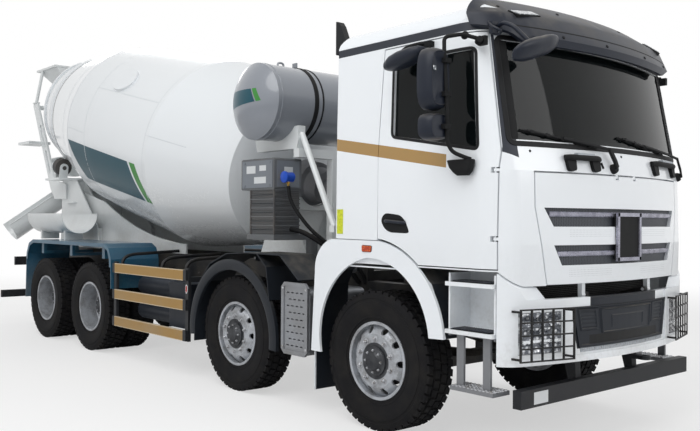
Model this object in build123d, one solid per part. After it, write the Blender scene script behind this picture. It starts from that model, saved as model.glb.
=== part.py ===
from build123d import *
import os
from math import atan2, cos, radians, sin, sqrt, tan

# Concrete mixer truck, 8x4, millimetres. +X is forward, +Y is the driver's (left) side, +Z is up.
# Everything is placed from the first axle, with Z = 0 on the ground. At the end the whole truck is
# shifted along X so that the origin lies on the ground below the middle of its length.

# ---------------------------------------------------------------- driving dimensions
WIDTH = 2470                      # cab, fenders and side guards
FRONT_OVERHANG = 1410             # first axle to the front of the lamp guards
REAR_OVERHANG = 2300              # last axle to the rear edge of the platform
AXLE_STEPS = (1850, 3000, 1350)   # first to second, second to third, third to fourth axle
AXLE_X = [-sum(AXLE_STEPS[:i]) for i in range(4)]
REAR_END = AXLE_X[3] - REAR_OVERHANG
LENGTH = FRONT_OVERHANG - REAR_END
ORIGIN_SHIFT = LENGTH / 2 - FRONT_OVERHANG
HALF = WIDTH / 2
FIT = 0.3                         # seat between two fixed pieces, and between a shaft and its bore
RUN = 6                           # gap round a piece that moves

# wheels
TYRE_R = 535
TYRE_W = 300
AXLE_Z = TYRE_R
SEAT_R = 286                      # bead seat of a rim
FLANGE_R = 298.5
RIM_HALF = 128                    # half the width over a rim's flanges
RIM_WALL = 10
FRONT_WHEEL_Y = HALF - 217
TWIN_Y = HALF - 320               # middle of a twin pair
TWIN_HALF = 170                   # from there to the middle of each tyre
SPINDLE_R = 38
REAR_SPINDLE_R = 70
HAND_HOLES = 10
HAND_HOLE_R = 26

# chassis frame and the mixer's subframe on it
RAIL_Y = 430                      # outer face of a rail's web
RAIL_H = 300
RAIL_FLANGE = 85
RAIL_T = 8
RAIL_TOP = 1060
RAIL_BOTTOM = RAIL_TOP - RAIL_H
RAIL_FRONT = 1230
RAIL_REAR = AXLE_X[3] - 1850
SUB_H = 130
SUB_W = 80
SUB_FRONT = -830
SUB_TOP = RAIL_TOP + FIT + SUB_H

# steering
KINGPIN_Y = FRONT_WHEEL_Y - 88
KINGPIN_R = 22
FIST_R = 45
FIST_H = 120

# cab
CAB_REAR = -370
CAB_FLOOR = 1275
CAB_WALL = 55
FRONT_SWEEP = 195.4               # how far the front falls back at the cab's sides
BOW_R = (HALF ** 2 + FRONT_SWEEP ** 2) / (2 * FRONT_SWEEP)
CORNER_R = 230                    # plan radius of the front corners
TILT_X = 1300                     # cab tilt pin
TILT_Z = 1100
TILT_PIN_R = 12
LID_T = 40                        # front service panel
LID_GAP = 11                      # seam round the front panel
DOOR_GAP = 8                      # seam round a door, which its thick edge swings through
ARCH_GAP = 19                     # seam between a door's cut corner and the mudguard's lip
PANEL_HINGE_X = 1366
PANEL_HINGE_Z = 1922
DOOR_HINGE_X = 1128
DOOR_HINGE_Y = HALF - 43
HINGE_PIN_R = 5
DOOR_SWING_R = 124                # swept by the door's front edge about its hinge
PANEL_EAR_Y = 106
PANEL_PIN_R = 4
DOOR_T = CAB_WALL
WHEEL_X = 830                     # steering wheel
WHEEL_Y = 620
WHEEL_Z = 2010
WHEEL_R = 215
WHEEL_LEAN = 35
MIRROR_Y = HALF + 215

# bumper, lamps and towing eye
BUMPER_FRONT = 1400
BUMPER_T = 50
BUMPER_LOW = 660
BUMPER_TOP = 1092
LAMP_DEPTH = 36
GUARD_BOX = (HALF - 535, HALF - 95, 694, 1040, 10)   # lamp guard: from y, to y, from z, to z, bar
GUARD_SWEEP = 15
GUARD_COLS = 5
GUARD_ROWS = 4
TOW_X = 1320
TOW_Y = 385
TOW_Z = 585
TOW_EYE_R = 20

# drum: a surface of revolution about an axis that rises to the rear
DRUM_PITCH = 13.45
DRUM_X = -2508                    # centre of the front head's seam
DRUM_Z = 2093
DRUM_WALL = 8
HEAD_DEPTH = 150                  # dish of the front head
RING_S = 4505                     # roller ring, along the axis
RING_R = 885
RING_W = 90
ROLLER_R = 125
ROLLER_W = 110
ROLLER_ANGLE = 38                 # each side of straight down
ROLLER_PIN_R = 30
DRUM_SHELL = (                    # (distance along the axis from the head seam, outer radius)
    (0, 781),
    (1180, 1123),
    (2675, 1122),
    (3372, 1108),
    (4980, 770),
)
FLANGE_S = -235                   # front face of the drive flange, along the axis
ROLLER_GAP = 0.6                  # between the track ring and its rollers
GEARBOX_R = 230
COVER_S = 2300                    # inspection cover, along the axis
COVER_TURN = -128                 # and round it, from straight down
GUSSET_MID_X = -4740              # lowest stretch of the rear stand's curved gusset
GUSSET_MID_Z = 1405

# discharge end
POST_X = -8100                    # swivel post of the discharge chute
POST_TOP = 1640
POST_R = 62
SWIVEL_R = 40
CHUTE_HINGE_Z = 2150
CHUTE_R = 215                     # inside of a chute trough
CHUTE_T = 6
CHUTE_LENGTH = 1220
CHUTE_BACK = 90                   # trough behind its hinge
CHUTE_SLOPE = 35
CHUTE_SWING = 82                  # from straight back, towards the right
CHUTE_PIN_R = 16
ARM_Y = 500                       # inner face of the arms that carry the hopper
ARM_T = 30
ARM_TOP_X = -8350
LADDER_X = (-7920, -7600)
ARM_TOP_Z = 3450
HOPPER_LEVELS = (                 # (height, rear, front, half width)
    (4000, -8460, -7760, 450),
    (3660, -8030, -7660, 270),
    (3300, -7470, -7270, 190),
)
DISCHARGE_LEVELS = (              # (height, rear, front, half width)
    (2560, -7990, -7590, 400),
    (2290, -8175, -8025, 75),
)

# water tank across the truck, behind the cab
TANK_X = -1650
TANK_Z = 2700
TANK_R = 355
TANK_SEAM_Y = 1090                # where the shell meets each head
TANK_DISH = 130


# ---------------------------------------------------------------- helpers
def block(x0, x1, y0, y1, z0, z1):
    """A box between two corners."""
    return Pos(x0, y0, z0) * Box(x1 - x0, y1 - y0, z1 - z0, align=(Align.MIN,) * 3)


def prism_y(points, y0, y1):
    """Extrudes an outline of (x, z) points from y0 to y1."""
    face = make_face(Polyline(*[(x, y0, z) for x, z in points], close=True))
    return extrude(face, amount=y1 - y0, dir=(0, 1, 0))


def prism_x(points, x0, x1):
    """Extrudes an outline of (y, z) points from x0 to x1."""
    face = make_face(Polyline(*[(x0, y, z) for y, z in points], close=True))
    return extrude(face, amount=x1 - x0, dir=(1, 0, 0))


def prism_z(points, z0, z1):
    """Extrudes an outline of (x, y) points from z0 to z1."""
    face = make_face(Polyline(*[(x, y, z0) for x, y in points], close=True))
    return extrude(face, amount=z1 - z0, dir=(0, 0, 1))


def strip(points, thick):
    """Outline of a sheet of even thickness along a line of points, on the right of its direction."""
    steps = [(x1 - x0, z1 - z0) for (x0, z0), (x1, z1) in zip(points, points[1:])]
    normals = [(dz / sqrt(dx * dx + dz * dz), -dx / sqrt(dx * dx + dz * dz)) for dx, dz in steps]
    inner = []
    for i, (x, z) in enumerate(points):
        n0, n1 = normals[max(i - 1, 0)], normals[min(i, len(normals) - 1)]
        share = thick / (1 + n0[0] * n1[0] + n0[1] * n1[1])
        inner.append((x + (n0[0] + n1[0]) * share, z + (n0[1] + n1[1]) * share))
    return points + inner[::-1]


def rod(a, b, r):
    """A round bar from point a to point b."""
    run = Vector(*b) - Vector(*a)
    ends = (Align.CENTER, Align.CENTER, Align.MIN)
    return Plane(origin=a, z_dir=run) * Cylinder(r, run.length, align=ends)


def turned(profile, place):
    """Revolves a closed outline of (along, radius) points about the x axis of the plane place."""
    face = place * make_face(Polyline(*profile, close=True))
    return revolve(face, Axis(place.origin, place.x_dir), 360)


def axle_plane(x, y, z=AXLE_Z):
    """A plane whose x runs outwards along +Y and whose y runs up, for turned wheel pieces."""
    return Plane(origin=(x, y, z), x_dir=(0, 1, 0), z_dir=(1, 0, 0))


def mirrored(solid):
    return mirror(solid, about=Plane.XZ)


def side(solid, sign):
    """A piece drawn on the left side, kept there (+1) or mirrored to the right (-1)."""
    return solid if sign > 0 else mirrored(solid)


def pair(solid):
    return [solid, mirrored(solid)]


# ---------------------------------------------------------------- wheels
def tyre(x, y):
    """A tyre on its bead seat, with round sidewalls and a slightly crowned tread."""
    bead, shoulder, half = RIM_HALF - 11, TYRE_W / 2 - 26, TYRE_W / 2
    foot, belly, edge = SEAT_R + FIT, TYRE_R - 140, TYRE_R - 12
    outline = [
        Line((-bead, foot), (bead, foot)),
        Line((bead, foot), (bead, foot + 14)),
        ThreePointArc((bead, foot + 14), (half, belly), (shoulder, edge)),
        ThreePointArc((shoulder, edge), (0, TYRE_R), (-shoulder, edge)),
        ThreePointArc((-shoulder, edge), (-half, belly), (-bead, foot + 14)),
        Line((-bead, foot + 14), (-bead, foot)),
    ]
    place = axle_plane(x, y)
    return revolve(place * make_face(outline), Axis(place.origin, place.x_dir), 360)


def hand_holes(x, y, radius, run):
    """A ring of bars along Y that cuts a disc's hand holes."""
    holes = []
    for i in range(HAND_HOLES):
        a = radians(360 / HAND_HOLES * i)
        cx, cz = x + radius * cos(a), AXLE_Z + radius * sin(a)
        holes.append(rod((cx, y - run, cz), (cx, y + run, cz), HAND_HOLE_R))
    return holes


def front_rim(x):
    """Steel disc wheel with its hub: the disc bulges outwards."""
    inner, bore, hub = SEAT_R - RIM_WALL, SPINDLE_R + FIT, 112
    half = RIM_HALF
    outline = [
        (-half, FLANGE_R), (-half, inner), (55, inner), (112, 222), (126, 200), (126, hub),
        (-5, hub), (-5, bore), (125, bore), (125, 0), (178, 0), (178, 62), (166, 76), (150, 100),
        (150, hub), (138, hub), (138, 205), (124, 230), (75, inner), (half, inner),
        (half, FLANGE_R), (half - RIM_WALL, FLANGE_R), (half - RIM_WALL, SEAT_R),
        (RIM_WALL - half, SEAT_R), (RIM_WALL - half, FLANGE_R),
    ]
    rim = turned(outline, axle_plane(x, FRONT_WHEEL_Y))
    return rim - hand_holes(x, FRONT_WHEEL_Y + 95, 238, 60)


def twin_rims(x):
    """Two disc wheels back to back on one hub: the outer disc lies deep inside its rim."""
    inner, bore, hub = SEAT_R - RIM_WALL, REAR_SPINDLE_R + FIT, 125
    near, far = TWIN_HALF - RIM_HALF, TWIN_HALF + RIM_HALF
    outline = [
        (far, FLANGE_R), (far, inner), (86, inner), (26, 214), (12, 198), (12, hub), (150, hub),
        (165, 112), (165, 60), (185, 50), (185, 0), (100, 0), (100, bore), (-140, bore),
        (-140, hub), (-12, hub), (-12, 198), (-26, 214), (-86, inner), (-far, inner),
        (-far, FLANGE_R), (RIM_WALL - far, FLANGE_R), (RIM_WALL - far, SEAT_R),
        (-near - RIM_WALL, SEAT_R), (-near - RIM_WALL, FLANGE_R), (-near, FLANGE_R),
        (-near, inner), (-70, inner), (-10, 214), (0, 206), (10, 214), (70, inner), (near, inner),
        (near, FLANGE_R), (near + RIM_WALL, FLANGE_R), (near + RIM_WALL, SEAT_R),
        (far - RIM_WALL, SEAT_R), (far - RIM_WALL, FLANGE_R),
    ]
    rim = turned(outline, axle_plane(x, TWIN_Y))
    return rim - hand_holes(x, TWIN_Y + 50, 238, 58)


# ---------------------------------------------------------------- axles, springs and steering
def knuckle(x):
    """Steering knuckle: two ears round the beam's fist, kingpin, brake backplate and spindle."""
    fist = FIST_H / 2 + 0.5
    ear_t, plate_y = 40, KINGPIN_Y + FIST_R + 13
    solid = rod((x, KINGPIN_Y, AXLE_Z - fist - ear_t), (x, KINGPIN_Y, AXLE_Z + fist + ear_t), KINGPIN_R)
    for low in (AXLE_Z + fist, AXLE_Z - fist - ear_t):
        solid += rod((x, KINGPIN_Y, low), (x, KINGPIN_Y, low + ear_t), FIST_R)
        solid += block(x - FIST_R, x + FIST_R, KINGPIN_Y, plate_y + 5, low, low + ear_t)
    solid += rod((x, plate_y, AXLE_Z), (x, plate_y + 18, AXLE_Z), 200)
    return solid + rod((x, plate_y, AXLE_Z), (x, FRONT_WHEEL_Y + 118, AXLE_Z), SPINDLE_R)


def front_axle(x):
    """Dropped forged beam with a fist and kingpin bore at each end."""
    fist, drop = FIST_H / 2, 75
    top, low = AXLE_Z + fist - 5, AXLE_Z - fist + 5
    arm, bend = KINGPIN_Y - 80, KINGPIN_Y - 230
    half = [(bend, top - drop), (arm, top), (KINGPIN_Y, top), (KINGPIN_Y, low), (arm - 10, low),
            (bend - 10, low - drop)]
    outline = half + [(-y, z) for y, z in reversed(half)]
    beam = prism_x(outline, x - 42, x + 42)
    for y in (-KINGPIN_Y, KINGPIN_Y):
        beam += rod((x, y, AXLE_Z - fist), (x, y, AXLE_Z + fist), FIST_R)
    for y in (-KINGPIN_Y, KINGPIN_Y):
        beam -= rod((x, y, AXLE_Z - 2 * fist), (x, y, AXLE_Z + 2 * fist), KINGPIN_R + FIT)
    return beam


FRONT_BEAM_TOP = AXLE_Z + FIST_H / 2 - 5 - 75


def front_spring(x):
    """Leaf pack on the beam with a hanger at each end, below the rail's flange (left side)."""
    y0, y1 = RAIL_Y - RAIL_FLANGE + 5, RAIL_Y
    seat, rise, reach, thick = FRONT_BEAM_TOP + FIT, 110, 640, 62
    ends = [(x - reach, y0, seat + rise), (x + reach, y0, seat + rise)]
    lower = ThreePointArc(ends[0], (x, y0, seat), ends[1])
    crown = seat + rise + 25
    upper = ThreePointArc((x + reach, y0, crown), (x, y0, seat + thick), (x - reach, y0, crown))
    face = make_face([lower, Line(ends[1], upper @ 0), upper, Line(upper @ 1, ends[0])])
    pack = extrude(face, amount=y1 - y0, dir=(0, 1, 0))
    for end in (x - reach + 45, x + reach - 45):
        pack += prism_y([(end - 22, seat + rise - 5), (end + 22, seat + rise - 5),
                         (end + 60, RAIL_BOTTOM - FIT), (end - 60, RAIL_BOTTOM - FIT)], y0, y1)
    return pack


def rear_axle(x):
    """Driven axle: banjo bowl, tubes, brake drums and wheel spindles."""
    solid = rod((x, -TWIN_Y - 98, AXLE_Z), (x, TWIN_Y + 98, AXLE_Z), REAR_SPINDLE_R)
    solid += rod((x, 145 - TWIN_Y, AXLE_Z), (x, TWIN_Y - 145, AXLE_Z), 76)
    solid += rod((x - 130, 0, AXLE_Z), (x + 150, 0, AXLE_Z), 205)
    solid += rod((x + 150, 0, AXLE_Z), (x + 260, 0, AXLE_Z), 95)
    for y in (145 - TWIN_Y, TWIN_Y - 285):
        solid += rod((x, y, AXLE_Z), (x, y + 140, AXLE_Z), 205)
    return solid


def rear_spring():
    """Inverted leaf pack over both driven axles, with its trunnion bracket (left side)."""
    front, rear = AXLE_X[2], AXLE_X[3]
    mid, seat, thick, y0, y1 = (front + rear) / 2, AXLE_Z + 76 + FIT, 120, RAIL_Y + 45, RAIL_Y + 130
    top = ThreePointArc((front + 120, y0, seat + 30), (mid, y0, seat + thick), (rear - 120, y0, seat + 30))
    rest = Polyline(top @ 1, (rear - 120, y0, seat), (front + 120, y0, seat), top @ 0)
    pack = extrude(make_face([top, *rest.edges()]), amount=y1 - y0, dir=(0, 1, 0))
    pack += block(mid - 120, mid + 120, y0 - 10, y1, seat + thick - 30, seat + thick + 45)
    return pack + block(mid - 150, mid + 150, RAIL_Y + FIT, y0 + 5, seat + 20, RAIL_TOP - 60)


# ---------------------------------------------------------------- chassis
FRAME_MEMBERS = (RAIL_FRONT - 80, -1640, -2600, AXLE_X[2] + 650, (AXLE_X[2] + AXLE_X[3]) / 2,
                 AXLE_X[3] - 700, RAIL_REAR + 60)
SUB_MEMBERS = (SUB_FRONT - 60, -2250, -4000, -5525, -7000, RAIL_REAR + 60)


def frame():
    """Two channel rails with cross-members and the cab's tilt brackets at the front."""
    inner, web = RAIL_Y - RAIL_FLANGE, RAIL_Y - RAIL_T
    channel = [(RAIL_Y, RAIL_BOTTOM), (RAIL_Y, RAIL_TOP), (inner, RAIL_TOP), (inner, RAIL_TOP - RAIL_T),
               (web, RAIL_TOP - RAIL_T), (web, RAIL_BOTTOM + RAIL_T), (inner, RAIL_BOTTOM + RAIL_T),
               (inner, RAIL_BOTTOM)]
    rail = prism_x(channel, RAIL_REAR, RAIL_FRONT)
    solid = rail + mirrored(rail)
    for x in FRAME_MEMBERS:
        solid += block(x - 40, x + 40, -web - 2, web + 2, RAIL_TOP - 150, RAIL_TOP - 30)
    for y in (385, -425):
        ear = prism_y([(1120, RAIL_TOP - 60), (1120, RAIL_TOP + 10), (TILT_X - 15, TILT_Z + 18),
                       (TILT_X + 15, TILT_Z + 18), (TILT_X + 15, TILT_Z - 18), (RAIL_FRONT, RAIL_TOP - 60)],
                      y, y + 40)
        solid += ear - rod((TILT_X, y - 1, TILT_Z), (TILT_X, y + 41, TILT_Z), TILT_PIN_R + FIT)
    return solid


def engine():
    """Engine, clutch and gearbox as one plain block with four mounting ears on the rails."""
    web = RAIL_Y - RAIL_T - FIT
    solid = block(-480, 760, -330, 330, 665, 1225) + block(-1500, -480, -190, 190, 700, 1010)
    for x in (-300, 560):
        solid += block(x - 60, x + 60, -web, web, 850, 930)
    return solid


def propshafts():
    """Prop shaft from the gearbox to the third axle, and the short one between the driven axles."""
    a = (-1500 - 6, 0, 840)
    b = (AXLE_X[2] + 260 + 6, 0, AXLE_Z)
    first = rod(a, b, 55)
    second = rod((AXLE_X[2] - 130 - FIT, 0, AXLE_Z), (AXLE_X[3] + 260 + FIT, 0, AXLE_Z), 50)
    return [first, second]


def subframe():
    """Box rails on the chassis rails, with cross-members below the drum."""
    y0, y1 = RAIL_Y - SUB_W, RAIL_Y
    low = RAIL_TOP + FIT
    rail = block(RAIL_REAR, SUB_FRONT, y0, y1, low, SUB_TOP)
    solid = rail + mirrored(rail)
    for x in SUB_MEMBERS:
        solid += block(x - 45, x + 45, -y0 - 2, y0 + 2, low, low + 90)
    return solid


# ---------------------------------------------------------------- cab body
CAB_LEVELS = (                    # (height, front at the middle, half width, inside front)
    (1180, 1385, HALF, 1245),
    (1450, 1390, HALF, 1245),
    (1940, 1376, HALF, 1236),
    (2080, 1345, HALF - 3, 1290),
    (2860, 1200, HALF - 20, 1150),
    (3200, 1137, HALF - 27, 1087),
)
ROOF_EDGE = 3085
FENDER_T = 22                     # lip of the front mudguard, which stands in front of the cab's side


def plan_outline(front, half, rear, z, corner=CORNER_R, bow=BOW_R):
    """Plan outline at height z: straight rear and sides, round corners, bowed front."""
    cx = front - bow + sqrt((bow - corner) ** 2 - (half - corner) ** 2)
    dx, dy = (cx - (front - bow)) / (bow - corner), (half - corner) / (bow - corner)
    tx, ty = front - bow + bow * dx, bow * dy
    mx, my = cx + corner * sin(radians(50)), half - corner + corner * cos(radians(50))
    return make_face([
        Line((rear, -half, z), (rear, half, z)),
        Line((rear, half, z), (cx, half, z)),
        ThreePointArc((cx, half, z), (mx, my, z), (tx, ty, z)),
        ThreePointArc((tx, ty, z), (front, 0, z), (tx, -ty, z)),
        ThreePointArc((tx, -ty, z), (mx, -my, z), (cx, -half, z)),
        Line((cx, -half, z), (rear, -half, z)),
    ])


def bow_x(front, y):
    """X of a bowed front surface at distance y from the middle."""
    return front - BOW_R + sqrt(BOW_R ** 2 - y ** 2)


def roof_profile(inset):
    """Side view of the cab: roof arch, rear corner, and the bottom edge that drops at the front."""
    face = make_face(Polyline(
        (CAB_REAR, 0, CAB_FLOOR), (CAB_REAR, 0, 2990), (-335, 0, 3065), (-210, 0, 3125),
        (100, 0, 3160), (500, 0, 3150), (880, 0, 3105), (1040, 0, 3035), (1150, 0, 2940),
        (1600, 0, 2850), (1600, 0, 1180), (1245, 0, 1180), (1150, 0, CAB_FLOOR), close=True))
    if inset:
        face = offset(face, amount=-inset, kind=Kind.INTERSECTION)
    return extrude(face, amount=WIDTH, dir=(0, 1, 0), both=True)


def front_profile(inset):
    """Front view of the cab: rounded roof edges."""
    h, r, top = HALF - inset, 150 - inset / 2, ROOF_EDGE - inset
    face = make_face([
        Line((0, -h, 1000), (0, h, 1000)),
        Line((0, h, 1000), (0, h - 12, 2905)),
        ThreePointArc((0, h - 12, 2905), (0, h - 70, top - 55), (0, h - 70 - r, top)),
        ThreePointArc((0, h - 70 - r, top), (0, 0, top + 75), (0, r + 70 - h, top)),
        ThreePointArc((0, r + 70 - h, top), (0, 70 - h, top - 55), (0, 12 - h, 2905)),
        Line((0, 12 - h, 2905), (0, -h, 1000)),
    ])
    return extrude(face, amount=3000, dir=(1, 0, 0), both=True)


def cab_loft(inset, hollow=False):
    """The cab's walls before the roof and floor are cut, moved in by inset; hollow: the space inside."""
    faces = []
    for z, front, half, inside in CAB_LEVELS:
        x = inside + CAB_WALL - inset if hollow else front - inset
        faces.append(plan_outline(x, half - inset, CAB_REAR + inset, z, CORNER_R - inset, BOW_R - inset))
    return loft(faces, ruled=True)


def cab_solid(inset, hollow=False):
    """The whole cab as one solid, its skin moved in by inset; hollow: the space inside."""
    return (cab_loft(inset, hollow) & roof_profile(inset)) & front_profile(inset)


def cab_skin(outer, inner):
    """A layer of the cab's walls between two depths below the skin."""
    return cab_loft(outer) - cab_loft(inner)


DOOR = [(95, 1292), (1145, 1292), (1145, 2060), (1012, 2870), (145, 2870), (95, 2120)]
DOOR_WINDOW = [(240, 2228), (600, 2165), (1000, 2092), (950, 2755), (245, 2758)]
WINDSCREEN = [(117 - HALF, 2122), (HALF - 117, 2122), (HALF - 135, 2838), (135 - HALF, 2838)]
PANEL = [(-850, 1188), (850, 1188), (950, 1700), (950, 1929), (-950, 1929), (-950, 1700)]
PANEL_SLOTS = (                   # (low, high, half width below, half width above)
    (1572, 1698, 800, 880),
    (1312, 1448, 725, 800),
)
DOOR_HINGE_Z = (1480, 1930)


def region(points, margin, face_of):
    """The outline as a face, grown by margin; face_of turns a pair of numbers into a point."""
    face = make_face(Polyline(*[face_of(a, b) for a, b in points], close=True))
    return offset(face, amount=margin, kind=Kind.INTERSECTION) if margin else face


def side_region(points, margin=0.0, start=HALF - 175):
    """A prism through the left side of the cab, from start outwards."""
    face = region(points, margin, lambda x, z: (x, start, z))
    return extrude(face, amount=WIDTH - start, dir=(0, 1, 0))


def front_region(points, margin=0.0):
    """A prism through the front of the cab."""
    face = region(points, margin, lambda y, z: (900, y, z))
    return extrude(face, amount=700, dir=(1, 0, 0))


def arch_region(margin, y0):
    """The front wheel arch, out to the lip's outer edge and margin beyond it (left side)."""
    edges = arch_edge(y0)
    face = make_face([*edges, Line(edges[-1] @ 1, edges[0] @ 0)])
    if margin:
        face = offset(face, amount=margin, kind=Kind.INTERSECTION)
    return extrude(face, amount=HALF + 5 - y0, dir=(0, 1, 0))


def arch_edge(y):
    """Outer edge of the front mudguard's lip, from its foot at the rear to its foot at the front."""
    return [
        Line((-660, y, 541), (-620, y, 1193)),
        ThreePointArc((-620, y, 1193), (-560, y, 1372), (-420, y, 1456)),
        Line((-420, y, 1456), (96, y, 1452)),
        ThreePointArc((96, y, 1452), (497, y, 1268), (733, y, 789)),
    ]


def door_hinge_bars(r, z, low, high):
    """A vertical bar on the left door's hinge axis."""
    return rod((DOOR_HINGE_X, DOOR_HINGE_Y, z + low), (DOOR_HINGE_X, DOOR_HINGE_Y, z + high), r)


def cab_shell():
    """Cab shell: hollow, with the door, windscreen, panel and wheel arch cut, and its tilt lugs."""
    shell = cab_solid(0) - cab_solid(CAB_WALL, hollow=True)
    shell -= front_region(WINDSCREEN, -22)
    shell -= cab_skin(10 - FIT, 16 + FIT) & front_region(WINDSCREEN)
    shell -= cab_skin(-1, LID_T + RUN) & front_region(PANEL, LID_GAP)
    opening = side_region(DOOR, DOOR_GAP, HALF - 195) - arch_region(0, HALF - 235)
    pocket = arch_region(RUN, HALF - FENDER_T - RUN)
    for cut_out in (opening, pocket):
        shell = shell - cut_out - mirrored(cut_out)
    ears = None
    for z in DOOR_HINGE_Z:
        ear = block(DOOR_HINGE_X - 8, DOOR_HINGE_X + 34, DOOR_HINGE_Y - 10, DOOR_HINGE_Y + 10, z, z + 20)
        ear = (ear & cab_loft(2)) - door_hinge_bars(HINGE_PIN_R + FIT, z, -5, 25)
        ears = ear if ears is None else ears + ear
    shell = shell + ears + mirrored(ears)
    for y in (PANEL_EAR_Y, -PANEL_EAR_Y - 28):
        ear = block(PANEL_HINGE_X - 7, PANEL_HINGE_X + 4, y, y + 28, PANEL_HINGE_Z - 7, PANEL_HINGE_Z + 30)
        pin = (PANEL_HINGE_X - 1, y - 1, PANEL_HINGE_Z), (PANEL_HINGE_X - 1, y + 29, PANEL_HINGE_Z)
        shell += (ear & cab_loft(1)) - rod(*pin, PANEL_PIN_R + FIT)
    for y, way in ((430, -1), (-470, 1)):
        lug = block(TILT_X - 18, TILT_X + 14, y, y + 40, TILT_Z, CAB_FLOOR + 30)
        lug += rod((TILT_X, y, TILT_Z), (TILT_X, y + 40, TILT_Z), 18)
        start = y if way < 0 else y + 40
        shell += lug + rod((TILT_X, start, TILT_Z), (TILT_X, start + way * 45, TILT_Z), TILT_PIN_R)
    return shell


def windscreen():
    return cab_skin(10, 16) & front_region(WINDSCREEN, -FIT)


def front_panel():
    """Front service panel with its two air slots, hinged on two pins at its top edge."""
    panel = cab_skin(0, LID_T) & front_region(PANEL)
    for low, high, half_low, half_high in PANEL_SLOTS:
        slot = [(-half_low, low), (half_low, low), (half_high, high), (-half_high, high)]
        panel -= cab_skin(-1, 26) & front_region(slot)
    for y in (PANEL_EAR_Y, -PANEL_EAR_Y - 28):
        panel -= block(1300, 1400, y - 6, y + 34, PANEL_HINGE_Z - 18, 2000)
        pin = (PANEL_HINGE_X - 1, y - 12, PANEL_HINGE_Z), (PANEL_HINGE_X - 1, y + 40, PANEL_HINGE_Z)
        panel += rod(*pin, PANEL_PIN_R)
    return panel


def door():
    """Left door with its window cut, a notch and pin at each hinge, and the arch's corner cut off."""
    solid = (cab_skin(0, DOOR_T) & side_region(DOOR)) - side_region(DOOR_WINDOW)
    solid -= cab_skin(22 - FIT, 28 + FIT) & side_region(DOOR_WINDOW, 12 + FIT)
    solid -= arch_region(ARCH_GAP, HALF - 235)
    for z in DOOR_HINGE_Z:
        solid -= block(DOOR_HINGE_X - 22, DOOR_HINGE_X + 32, HALF - 185, HALF + 5, z - 8, z + 28)
        solid += door_hinge_bars(HINGE_PIN_R, z, -16, 36)
    return solid


def door_glass():
    return cab_skin(22, 28) & side_region(DOOR_WINDOW, 12)


# ---------------------------------------------------------------- cab fittings
VISOR_LEVELS = (                  # (height, front at the middle, half width)
    (2700, 1262, HALF - 3),
    (2850, 1292, HALF - 1),
    (3000, 1225, HALF - 1),
    (3130, 1040, HALF - 20),
    (3200, 900, HALF - 45),
)


def visor():
    """Sun visor over the windscreen, open below, wrapped round the roof's front edge."""
    def body(inset):
        faces = [plan_outline(f - inset, h - inset, 300, z, 260, BOW_R) for z, f, h in VISOR_LEVELS]
        return loft(faces, ruled=True)
    lip = [(-HALF, 2925), (-940, 2800), (940, 2800), (HALF, 2925), (HALF, 3060), (1130, 3120),
           (900, 3150), (-900, 3150), (-1130, 3120), (-HALF, 3060)]
    profile = [(900, 3010), (960, 2850), (1060, 2770), (1500, 2770), (1500, 3200), (860, 3200)]
    shape = (body(0) & prism_x(lip, 700, 1500)) & prism_y(profile, -HALF, HALF)
    inside = body(30) & block(700, 1600, 85 - HALF, HALF - 85, 2700, 2960)
    return (shape - inside) - cab_solid(-FIT)


def seat(y):
    """Suspension seat: pedestal, cushion, backrest and headrest (middle at y)."""
    floor = CAB_FLOOR + CAB_WALL + FIT
    solid = block(220, 640, y - 200, y + 200, floor, 1690)
    solid += fillet(block(180, 700, y - 255, y + 255, 1690, 1840).edges().filter_by(Axis.Z), 60)
    solid += prism_y([(70, 1760), (200, 1760), (150, 2470), (40, 2470)], y - 250, y + 250)
    solid += block(120, 260, y - 200, y + 200, 1700, 1800)
    return solid + prism_y([(45, 2450), (125, 2450), (115, 2680), (40, 2680)], y - 140, y + 140)


def dashboard():
    """Full-width dashboard moulding behind the windscreen, clear of the swinging door edges."""
    profile = [(905, 1700), (905, 1935), (960, 2035), (1400, 2075), (1400, 1500), (1060, 1500)]
    swing = rod((DOOR_HINGE_X, DOOR_HINGE_Y, 1400), (DOOR_HINGE_X, DOOR_HINGE_Y, 2200), DOOR_SWING_R)
    swing += cab_skin(-1, DOOR_T + 2 * RUN) & side_region(DOOR, DOOR_GAP, HALF - 235)
    board = cab_solid(CAB_WALL + FIT, hollow=True) & prism_y(profile, 75 - HALF, HALF - 75)
    return board - swing - mirrored(swing)


def steering_wheel():
    """Steering wheel with three spokes, on a column that ends at the dashboard."""
    place = Plane(origin=(WHEEL_X, WHEEL_Y, WHEEL_Z), x_dir=(0, 1, 0),
                  z_dir=(-sin(radians(WHEEL_LEAN)), 0, cos(radians(WHEEL_LEAN))))
    solid = place * (Torus(WHEEL_R, 15) + Cylinder(60, 36))
    for turn in (0, 180, 270):
        solid += place * Rot(0, 0, turn) * Pos(WHEEL_R / 2, 0, 0) * Box(WHEEL_R, 34, 16)
    column = place * Pos(0, 0, -100) * Cylinder(32, 200)
    return solid + (column - block(905 - FIT, 1500, WHEEL_Y - 200, WHEEL_Y + 200, 1400, 2300))


def door_mirror():
    """Main and wide-angle mirror heads on a tube arm from the door's front edge (left side)."""
    y = MIRROR_Y
    solid = rod((900, y, 2785), (900, y, 2130), 14)
    solid += rod((985, HALF - 70, 2760), (900, y, 2785), 14) + rod((900, y, 2180), (1050, HALF, 1940), 14)
    solid += fillet(block(815, 925, y - 100, y + 110, 2330, 2760).edges().filter_by(Axis.Z), 35)
    solid += fillet(block(820, 925, y - 95, y + 105, 2130, 2310).edges().filter_by(Axis.Z), 35)
    solid += fillet(block(980, 1106, HALF - 85, HALF + 60, 1860, 2000).edges().filter_by(Axis.Y), 30)
    return solid - cab_loft(-FIT)


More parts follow.
